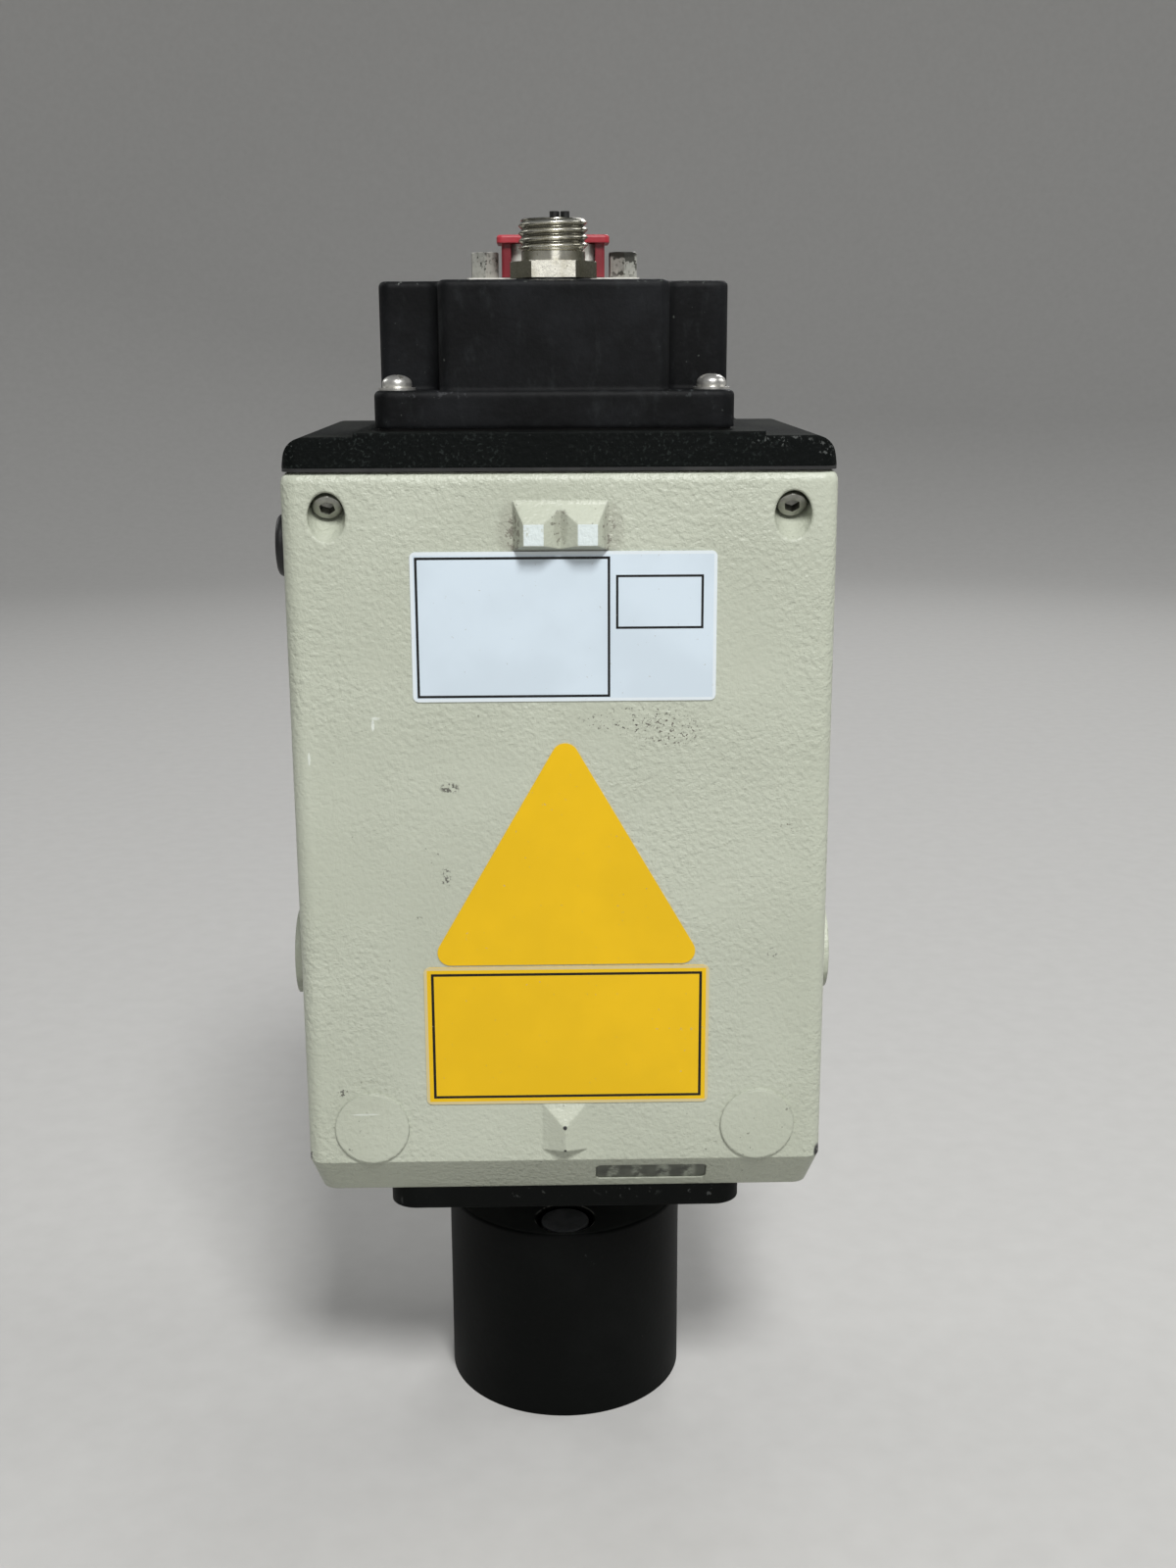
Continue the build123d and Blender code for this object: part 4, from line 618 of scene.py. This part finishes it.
colour = layer(tree, settled, colour, (0.018, 0.020, 0.016), 0.5)
for centre, reach in (
    ((38, -37, 195.8), (7, 3, 1.2)),
    ((45.5, -37, 194.5), (2.0, 3, 2.5)),
    ((-46, -37, 195), (1.5, 3, 1.5)),
):
    worn = flecks(tree, place, centre, reach, 0.45, 0.03)
    colour = layer(tree, worn, colour, (0.07, 0.075, 0.072))
coat(tree, shader, colour, ranged(tree, level_top, 0.55, 0.85))
relief(tree, shader, rough_pits, 0.20 * mm, soft_edges(tree, 0.4 * mm))
dress("rear_cap", cap_paint)


# Connector box: a black casting with a base flange, screwed onto the cap over a gasket. Its
# paint is smoother, with cloudy grey dust and bare scuffs on the upper edges.
dress("box_gasket", black_rubber)

box_paint, tree, shader, place = finish("box_paint", 0.55, Specular_IOR_Level=0.13)
cloudy = between(tree, grain(tree, place, 9 * mm, 5, 0.62), 0.38, 0.72)
colour = layer(tree, cloudy, (0.0028, 0.0031, 0.0034), (0.0085, 0.0092, 0.0105))
wiped = between(tree, grain(tree, place, 1.6 * mm, 5, 0.65, (1, 1, 0.5)), 0.52, 0.80)
colour = layer(tree, wiped, colour, (0.022, 0.025, 0.026), 0.5)
lint = between(tree, grain(tree, place, 0.5 * mm, 2, 0.6), 0.735, 0.76)
colour = layer(tree, lint, colour, (0.10, 0.11, 0.10), 0.5)
for centre, reach, share, shade in (
    ((-27, -24, 222.2), (4.5, 3, 0.5), 0.04, (0.10, 0.105, 0.10)),
    ((-8, -33, 222.3), (10, 2, 0.4), 0.02, (0.05, 0.055, 0.05)),
    ((14, -33, 222.3), (8, 2, 0.4), 0.02, (0.05, 0.055, 0.05)),
    ((26, -24, 222.2), (5, 3, 0.5), 0.03, (0.05, 0.055, 0.05)),
    ((-22, -33.5, 203.6), (9, 1.6, 1.2), 0.05, (0.030, 0.031, 0.033)),
    ((22, -32.5, 203.6), (7, 1.6, 1.2), 0.05, (0.026, 0.029, 0.030)),
    ((28, -33.5, 199), (4, 2, 3), 0.0, (0.03, 0.033, 0.033)),
):
    colour = layer(tree, flecks(tree, place, centre, reach, 0.6, share), colour, shade)
coat(tree, shader, colour)
relief(tree, shader, grain(tree, place, 0.7 * mm, 3, 0.6), 0.09 * mm, soft_edges(tree, 1.0 * mm))
dress("connector_box", box_paint)


# Box screws: four slotted domed screws on washers, bright plated steel, one at each corner of
# the connector box's base.
bright_steel = steel("bright_steel", (0.70, 0.69, 0.65), (0.12, 0.11, 0.09), 0.3, grime=0.08,
                     metallic=0.8)
dress("box_washers", bright_steel)
low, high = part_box("box_screws")
washer_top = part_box("box_washers")[1].z
head_radius, shank_radius, slot_width, slot_depth = 2.55 * mm, 1.5 * mm, 0.7 * mm, 0.7 * mm
head_height = high.z - washer_top
shank_length = washer_top - low.z
flat_share, dome_share = 0.35, 0.65
dome = [(head_radius * math.sin(math.radians(a)),
         head_height * (flat_share + dome_share * math.cos(math.radians(a))))
        for a in range(0, 91, 9)]
head = lathe("domed_head", dome + [
    (head_radius, 0.12 * head_height), (head_radius * 0.95, 0), (shank_radius, 0),
    (shank_radius, -shank_length), (0, -shank_length),
], segments=48, closed=False)
slot_mesh = bmesh.new()
bmesh.ops.create_cube(slot_mesh, size=1, matrix=Matrix.LocRotScale(
    (0, 0, head_height), None, (slot_width, 3 * head_radius, 2 * slot_depth)))
head = carved(head, as_object("slot", slot_mesh))
box_screws = copied("domed_box_screws", head, (2, 2),
                    (high.x - low.x - 2 * head_radius, high.y - low.y - 2 * head_radius),
                    ((low.x + high.x) / 2, (low.y + high.y) / 2, washer_top), bright_steel,
                    spin=3.0)
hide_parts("box_screws")
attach(box_screws, "meter")


# Round connector: a nickel-plated body with a hexagon, a plain collar and a fine threaded end,
# sealed and nutted through the box's roof, with a moulded insert and its contacts inside.
low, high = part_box("round_connector")
round_x, round_y = (low.x + high.x) / 2, (low.y + high.y) / 2
hex_across, hex_height, collar_height = 13 * mm, 2.8 * mm, 2.1 * mm
thread_radius, collar_radius, bore_radius, shank_radius = 6 * mm, 5.5 * mm, 4.4 * mm, 5 * mm
thread_depth, thread_pitch, thread_chamfer = 0.55 * mm, 1.27 * mm, 0.6 * mm
seal_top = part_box("round_seal")[1].z
collar_z = seal_top + hex_height
thread_z = collar_z + collar_height

nickel, tree, shader, place = finish("nickel", 0.2, 1.0)
stain = between(tree, grain(tree, place, 2.2 * mm, 4, 0.6), 0.42, 0.7)
colour = layer(tree, stain, (0.86, 0.84, 0.74), (0.60, 0.57, 0.46))
# Painted reflection: faces turned sideways are darkened as if they mirrored dark surroundings.
painted_dark_flanks = between(tree, combine(tree, "ABSOLUTE", facing(tree, "X")), 0.45, 0.85)
colour = layer(tree, painted_dark_flanks, colour, (0.13, 0.125, 0.075), 0.85)
specks = between(tree, grain(tree, place, 0.45 * mm, 2, 0.6), 0.66, 0.72)
colour = layer(tree, specks, colour, (0.16, 0.14, 0.08), 0.6)
centred = add(tree, "VectorMath", {0: place, 1: (round_x, round_y, 0)},
              operation="SUBTRACT").outputs["Vector"]
level = add(tree, "VectorMath", {0: centred, 1: (1, 1, 0)}, operation="MULTIPLY").outputs["Vector"]
reach = add(tree, "VectorMath", {0: level}, operation="LENGTH").outputs["Value"]
dark_from, dark_to = thread_radius - 0.12 * mm, thread_radius - 0.45 * mm
below_crest = between(tree, reach, dark_from, dark_to)
on_thread = between(tree, along(tree, "Z", place), thread_z, thread_z + 0.3 * mm)
groove = combine(tree, "MULTIPLY", below_crest, on_thread)
colour = layer(tree, groove, colour, (0.06, 0.055, 0.035), 0.75)
coat(tree, shader, colour, ranged(tree, grain(tree, place, 0.5 * mm, 3), 0.14, 0.36))
relief(tree, shader, grain(tree, place, 0.5 * mm, 2), 0.02 * mm)


def hexagon(name, centre, across, low, high, bore, turn, corner_share):
    """Hexagonal piece with a round hole, its top turned off outside a share of its half width."""
    mesh = bmesh.new()
    side_steps, chamfer_steps, chamfer_slope = 12, 6, math.tan(math.radians(30))
    count = 6 * side_steps
    turned_off = across / 2 * corner_share
    drop = (across / math.sqrt(3) - turned_off) * chamfer_slope
    levels = [low] + [high - drop * (1 - i / chamfer_steps) for i in range(chamfer_steps + 1)]
    angles = [math.tau * i / count for i in range(count)]
    rings = []
    for level in levels:
        ring = []
        for angle in angles:
            corner = (angle % (math.pi / 3)) - math.pi / 6
            reach = min(across / 2 / math.cos(corner), turned_off + (high - level) / chamfer_slope)
            ring.append(mesh.verts.new((centre[0] + reach * math.cos(angle + turn),
                                        centre[1] + reach * math.sin(angle + turn), level)))
        rings.append(ring)
    for level in (high, low):
        rings.append([mesh.verts.new((centre[0] + bore * math.cos(angle + turn),
                                      centre[1] + bore * math.sin(angle + turn), level))
                      for angle in angles])
    for near, far in zip(rings, rings[1:] + rings[:1]):
        for i in range(count):
            mesh.faces.new((near[i], near[(i + 1) % count], far[(i + 1) % count], far[i]))
    bmesh.ops.recalc_face_normals(mesh, faces=mesh.faces)
    return as_object(name, mesh, crease=18)


round_hexagon = hexagon("round_hexagon", (round_x, round_y), hex_across, seal_top, collar_z,
                        bore_radius, 0, corner_share=1.13)
round_hexagon.data.materials.append(nickel)
groove = 0.25 * mm
round_sleeve = lathe("round_sleeve", [
    (bore_radius, low.z), (shank_radius, low.z), (shank_radius, collar_z - groove),
    (collar_radius, collar_z), (collar_radius, thread_z - 2 * groove),
    (collar_radius - groove, thread_z - groove), (collar_radius - groove, thread_z),
    (bore_radius, thread_z),
], (round_x, round_y, 0))
round_sleeve.data.materials.append(nickel)


def grid(tree, columns, rows):
    """Flat grid of one unit, to be wrapped round an axis."""
    return put(tree, "GeometryNodeMeshGrid", {
        "Size X": 1.0, "Size Y": 1.0, "Vertices X": columns, "Vertices Y": rows}).outputs["Mesh"]


def wrapped(tree, sheet, radius, angle, height):
    """The grid with each point moved to this radius, angle and height."""
    spot = add(tree, "CombineXYZ", {
        "X": combine(tree, "MULTIPLY", radius, combine(tree, "COSINE", angle)),
        "Y": combine(tree, "MULTIPLY", radius, combine(tree, "SINE", angle)),
        "Z": height,
    }).outputs[0]
    return put(tree, "GeometryNodeSetPosition", {"Geometry": sheet, "Position": spot}).outputs[0]


def thread_tree():
    """Node group: a threaded tube with a chamfered end, its crests and valleys worn flat."""
    tree, given, out = node_tree("fine_thread", (
        ("Radius", "Float"), ("Bore Radius", "Float"), ("Depth", "Float"), ("Pitch", "Float"),
        ("Length", "Float"), ("Chamfer", "Float"), ("Middle", "Vector"), ("Finish", "Material"),
    ))
    around, rows, turns_ahead, steepness, crest_share = 96, 72, 4.0, 1.25, 0.15
    axes = add(tree, "SeparateXYZ", {
        0: put(tree, "GeometryNodeInputPosition").outputs[0]}).outputs
    turn = combine(tree, "ADD", axes["X"], 0.5)
    rise = combine(tree, "ADD", axes["Y"], 0.5)
    angle = combine(tree, "MULTIPLY", turn, math.tau)
    height = combine(tree, "MULTIPLY", rise, given["Length"])
    turns = combine(tree, "ADD", combine(tree, "DIVIDE", height, given["Pitch"]), turns_ahead)
    phase = combine(tree, "FRACT", combine(tree, "SUBTRACT", turns, turn))
    sawtooth = combine(tree, "SUBTRACT", combine(tree, "MULTIPLY", phase, 2.0), 1.0)
    valley = combine(tree, "MULTIPLY", combine(tree, "ABSOLUTE", sawtooth), steepness)
    valley = combine(tree, "MAXIMUM", combine(tree, "SUBTRACT", valley, crest_share), 0.0)
    valley = combine(tree, "MINIMUM", valley, 1.0)
    reach = combine(tree, "SUBTRACT", given["Radius"],
                    combine(tree, "MULTIPLY", valley, given["Depth"]))
    end_radius = combine(tree, "SUBTRACT", given["Radius"], given["Chamfer"])
    from_top = combine(tree, "SUBTRACT", given["Length"], height)
    reach = combine(tree, "MINIMUM", reach, combine(tree, "ADD", end_radius, from_top))
    outer = wrapped(tree, grid(tree, around + 1, rows), reach, angle, height)
    rim_width = combine(tree, "SUBTRACT", end_radius, given["Bore Radius"])
    rim_reach = combine(tree, "ADD", given["Bore Radius"],
                        combine(tree, "MULTIPLY", rise, rim_width))
    rim = wrapped(tree, grid(tree, around + 1, 2), rim_reach, angle, given["Length"])
    bore = wrapped(tree, grid(tree, around + 1, 2), given["Bore Radius"], angle, height)
    down = add(tree, "CombineXYZ", {
        "Z": combine(tree, "MULTIPLY", given["Length"], -1.0)}).outputs[0]
    foot = put(tree, "GeometryNodeTransform", {"Geometry": rim, "Translation": down}).outputs[0]
    flipped = put(tree, "GeometryNodeJoinGeometry")
    for part in (bore, rim):
        tree.links.new(part, flipped.inputs[0])
    turned = put(tree, "GeometryNodeFlipFaces", {0: flipped.outputs[0]}).outputs[0]
    shell = put(tree, "GeometryNodeJoinGeometry")
    for part in (outer, foot, turned):
        tree.links.new(part, shell.inputs[0])
    seam = 0.001 * mm
    joined = put(tree, "GeometryNodeMergeByDistance", {
        "Geometry": shell.outputs[0], "Distance": seam}).outputs[0]
    moved = put(tree, "GeometryNodeTransform", {
        "Geometry": joined, "Translation": given["Middle"]}).outputs[0]
    close_tree(tree, out, moved, given["Finish"])
    return tree


round_thread = grow("round_thread", thread_tree(), {
    "Radius": thread_radius, "Bore Radius": bore_radius, "Depth": thread_depth,
    "Pitch": thread_pitch, "Length": high.z - thread_z, "Chamfer": thread_chamfer,
    "Middle": (round_x, round_y, thread_z), "Finish": nickel,
}, crease=50)
for piece in (round_hexagon, round_sleeve, round_thread):
    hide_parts("round_connector")
    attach(piece, "meter")
dress("round_nut", nickel)
dress("round_seal", black_rubber)
dress("round_insert", black_plastic)

gold_contact, tree, shader, place = finish("gold_contact", 0.25, 1.0)
coat(tree, shader, layer(tree, grain(tree, place, 0.8 * mm), (0.85, 0.60, 0.22), (0.95, 0.72, 0.32)))
relief(tree, shader, grain(tree, place, 0.3 * mm), 0.01 * mm)
dress("round_contacts", gold_contact)


# Nine-way connector: a drawn tin-plated shell on its plate, a black moulded body with gilt
# contacts, and two zinc-plated hexagonal jack screws with their nuts.
tin_plate = steel("tin_plate", (0.92, 0.91, 0.84), (0.25, 0.23, 0.16), 0.35, grime=0.45,
                  metallic=0.5)
dress("dsub_shell", tin_plate)
dress("dsub_body", black_plastic)
dress("dsub_contacts", gold_contact)

zinc_steel = steel("zinc_steel", (0.40, 0.40, 0.36), (0.012, 0.012, 0.010), 0.5, grime=0.6,
                   metallic=0.35, marks=(
                       ((11.7, 0, 226.2), (4, 60, 3.8), 0.10, (0.06, 0.06, 0.05)),
                       ((11.7, 0, 227.6), (4, 60, 1.0), 0.22, (0.03, 0.03, 0.025)),
                       ((-13.8, 0, 226.6), (2.2, 60, 2.2), 0.06, (0.03, 0.03, 0.026)),
                       ((-12.9, 0, 225), (0.4, 60, 4), 0.14, (0.02, 0.02, 0.016)),
                   ))
dress("jack_nuts", zinc_steel)
low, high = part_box("jack_screws")
jack_across, jack_height, jack_pitch = 4.8 * mm, 4.6 * mm, 25 * mm
hole_radius, stem_radius, stem_bite = 1.2 * mm, 1.4 * mm, 0.4 * mm
jack_foot = ((low.x + high.x) / 2, (low.y + high.y) / 2, high.z - jack_height)
stem_length = high.z - jack_height - low.z
jack = hexagon("jack_screw", (0, 0), jack_across, 0, jack_height, hole_radius,
               math.radians(30), corner_share=0.97)
jack_heads = copied("jack_heads", jack, (2, 1), (jack_pitch, 0), jack_foot, zinc_steel, spin=0.5)
stem = lathe("jack_stem", [
    (0, -stem_length), (stem_radius, -stem_length), (stem_radius, stem_bite), (0, stem_bite),
], segments=32, closed=False)
jack_stems = copied("jack_stems", stem, (2, 1), (jack_pitch, 0), jack_foot, zinc_steel)
for piece in (jack_heads, jack_stems):
    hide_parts("jack_screws")
    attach(piece, "meter")


# Dust cap: one moulding of soft red plastic, a thin lid with a brim and two legs. It is pushed
# over the nine-way connector's shell; below its brim its colour is darkened as painted shade.
red_plastic, tree, shader, place = finish("red_plastic", 0.42, Subsurface_Weight=0.15,
                                          Subsurface_Radius=(1.5 * mm, 0.4 * mm, 0.3 * mm))
worn = between(tree, grain(tree, place, 3 * mm, 3), 0.4, 0.75)
colour = layer(tree, worn, (0.34, 0.018, 0.030), (0.46, 0.045, 0.060))
brim_low, brim_high = 228.6 * mm, 229.6 * mm
# Painted shade: the legs below the brim are painted darker.
painted_shade_under_brim = between(tree, along(tree, "Z", place), brim_high, brim_low)
coat(tree, shader, layer(tree, painted_shade_under_brim, colour, (0.12, 0.008, 0.014), 0.7))
relief(tree, shader, grain(tree, place, 0.6 * mm), 0.04 * mm, soft_edges(tree, 0.3 * mm))
dress("dust_cap", red_plastic)


# Lens barrel: a black drum under a square flange with a flared neck, both in fine matte paint
# that is dusty and rubbed; the neck and ledge under the flange are lightened as dust and painted
# light, and a painted highlight rings the plug's recess. An adjuster plug sits in the drum's
# ledge, and four countersunk screws and a ring seal join the flange to the housing.
barrel_paint, tree, shader, place = finish("barrel_paint", 0.6, Specular_IOR_Level=0.1)
rubbed = between(tree, grain(tree, place, 12 * mm, 5, 0.6), 0.45, 0.8)
colour = layer(tree, rubbed, (0.0012, 0.0017, 0.0014), (0.0030, 0.0036, 0.0033))
height = along(tree, "Z", place)
ledge_z, neck_z, flange_z, plug_y = 40.5 * mm, 42 * mm, 51.6 * mm, -17 * mm
above_ledge = between(tree, height, ledge_z - 0.2 * mm, ledge_z)
below_flange = between(tree, height, flange_z + 0.2 * mm, flange_z)
# Dust and painted light: the neck and ledge, which the flange shades, are painted lighter.
dusty = ranged(tree, grain(tree, place, 3 * mm, 4, 0.6), 0.5, 1.0)
dusty = combine(tree, "MULTIPLY", dusty, combine(tree, "MULTIPLY", above_ledge, below_flange))
colour = layer(tree, dusty, colour, (0.050, 0.054, 0.050))
# Painted highlight: a broken light ring on the edge of the plug's recess.
below_neck = between(tree, height, neck_z, ledge_z + 0.3 * mm)
ring_edge = combine(tree, "MULTIPLY", above_ledge, below_neck)
highlight_breakup = between(tree, grain(tree, place, 1.5 * mm, 3, 0.6), 0.45, 0.55)
ring = add(tree, "VectorMath", {0: place, 1: (0, plug_y, ledge_z)},
           operation="DISTANCE").outputs["Value"]
near_plug = combine(tree, "MULTIPLY", between(tree, ring, 5.55 * mm, 5.75 * mm),
                    between(tree, ring, 6.3 * mm, 6.1 * mm))
rim = combine(tree, "MULTIPLY", combine(tree, "MULTIPLY", near_plug, ring_edge), highlight_breakup)
colour = layer(tree, rim, colour, (0.22, 0.22, 0.20))
lint = between(tree, grain(tree, place, 0.7 * mm, 3, 0.7), 0.735, 0.77)
colour = layer(tree, lint, colour, (0.05, 0.05, 0.048), 0.4)
for centre, reach, share, shade in (
    ((4, -23, 35.5), (4, 3, 3), -0.02, (0.022, 0.024, 0.023)),
    ((12, -33.4, 54.6), (7, 1.6, 1.5), 0.03, (0.03, 0.032, 0.03)),
    ((-4, -33.4, 54.6), (12, 1.6, 1.4), -0.01, (0.03, 0.032, 0.03)),
    ((-29, -33.4, 53), (5, 1.6, 2), 0.0, (0.035, 0.037, 0.035)),
    ((26, -33.4, 54), (6, 1.6, 2), 0.0, (0.04, 0.042, 0.04)),
):
    colour = layer(tree, flecks(tree, place, centre, reach, 1.0, share), colour, shade)
coat(tree, shader, colour)
relief(tree, shader, grain(tree, place, 0.5 * mm, 3), 0.04 * mm, soft_edges(tree, 0.35 * mm))
dress("lens_barrel", barrel_paint)
dress("barrel_flange", barrel_paint)
dress("barrel_seal", black_rubber)
dress("flange_screws", dark_steel)

plug_metal = steel("plug_metal", (0.16, 0.165, 0.17), (0.05, 0.05, 0.05), 0.5, metallic=0.2)
dress("adjuster_plug", plug_metal)


# Objective: a coated glass lens that a soft rubber ring seals against its shoulder, and that a
# black anodised retainer holds from the front.
lens_glass, tree, shader, place = finish("lens_glass", 0.03, Transmission_Weight=1.0, IOR=1.52,
                                         Coat_Weight=0.6, Coat_Tint=(0.75, 0.8, 1.0, 1))
coat(tree, shader, layer(tree, grain(tree, place, 20 * mm), (0.90, 0.94, 0.97), (0.94, 0.96, 0.98)))
dress("objective_lens", lens_glass)
dress("lens_seal", black_rubber)

black_anodised, tree, shader, place = finish("black_anodised", 0.45, 0.6)
coat(tree, shader, layer(tree, grain(tree, place, 3 * mm, 3), (0.012, 0.012, 0.013),
                         (0.025, 0.025, 0.027)))
relief(tree, shader, grain(tree, place, 0.2 * mm, 2, 0.5, (1, 1, 5)), 0.01 * mm)
dress("lens_retainer", black_anodised)


# Optics: an anodised block on the end wall carries the brass laser module above, with its own
# small lens, and the receiver tube at the side. The mirror between them has a hole for the beam.
for node in ("optics_block", "receiver_tube"):
    dress(node, black_anodised)
dress("block_screws", dark_steel)
dress("collimator_lens", lens_glass)

mirror_coat, tree, shader, place = finish("mirror_coat", 0.02, 1.0)
coat(tree, shader, layer(tree, grain(tree, place, 6 * mm), (0.90, 0.91, 0.92), (0.94, 0.94, 0.95)))
dress("split_mirror", mirror_coat)

module_brass, tree, shader, place = finish("module_brass", 0.3, 1.0)
turned = grain(tree, place, 0.3 * mm, 2, 0.5, (0.2, 0.2, 3))
coat(tree, shader, layer(tree, turned, (0.60, 0.42, 0.17), (0.78, 0.58, 0.27)))
relief(tree, shader, turned, 0.015 * mm)
dress("laser_module", module_brass)
dress("detector", tin_plate)
dress("receiver_board", board_laminate)


# Boards: two of green laminate, the main one screwed to the back wall with its chips and cable
# header, the small one under the connectors, and the grey flat cable between them.
for node in ("main_board", "interface_board"):
    dress(node, board_laminate)
dress("board_screws", zinc_steel)
dress("board_chips", moulded("chip_black", (0.02, 0.02, 0.022), 0.5, grit=0.2, dusty=0.1))
dress("cable_header", black_plastic)

cable_grey, tree, shader, place = finish("cable_grey", 0.5)
core_pitch = 1.27 * mm
cores = add(tree, "TexWave", {"Vector": place, "Scale": 0.5 / core_pitch},
            bands_direction="X").outputs["Fac"]
coat(tree, shader, layer(tree, cores, (0.25, 0.25, 0.26), (0.42, 0.42, 0.43)))
relief(tree, shader, cores, 0.2 * mm)
dress("flat_cable", cable_grey)
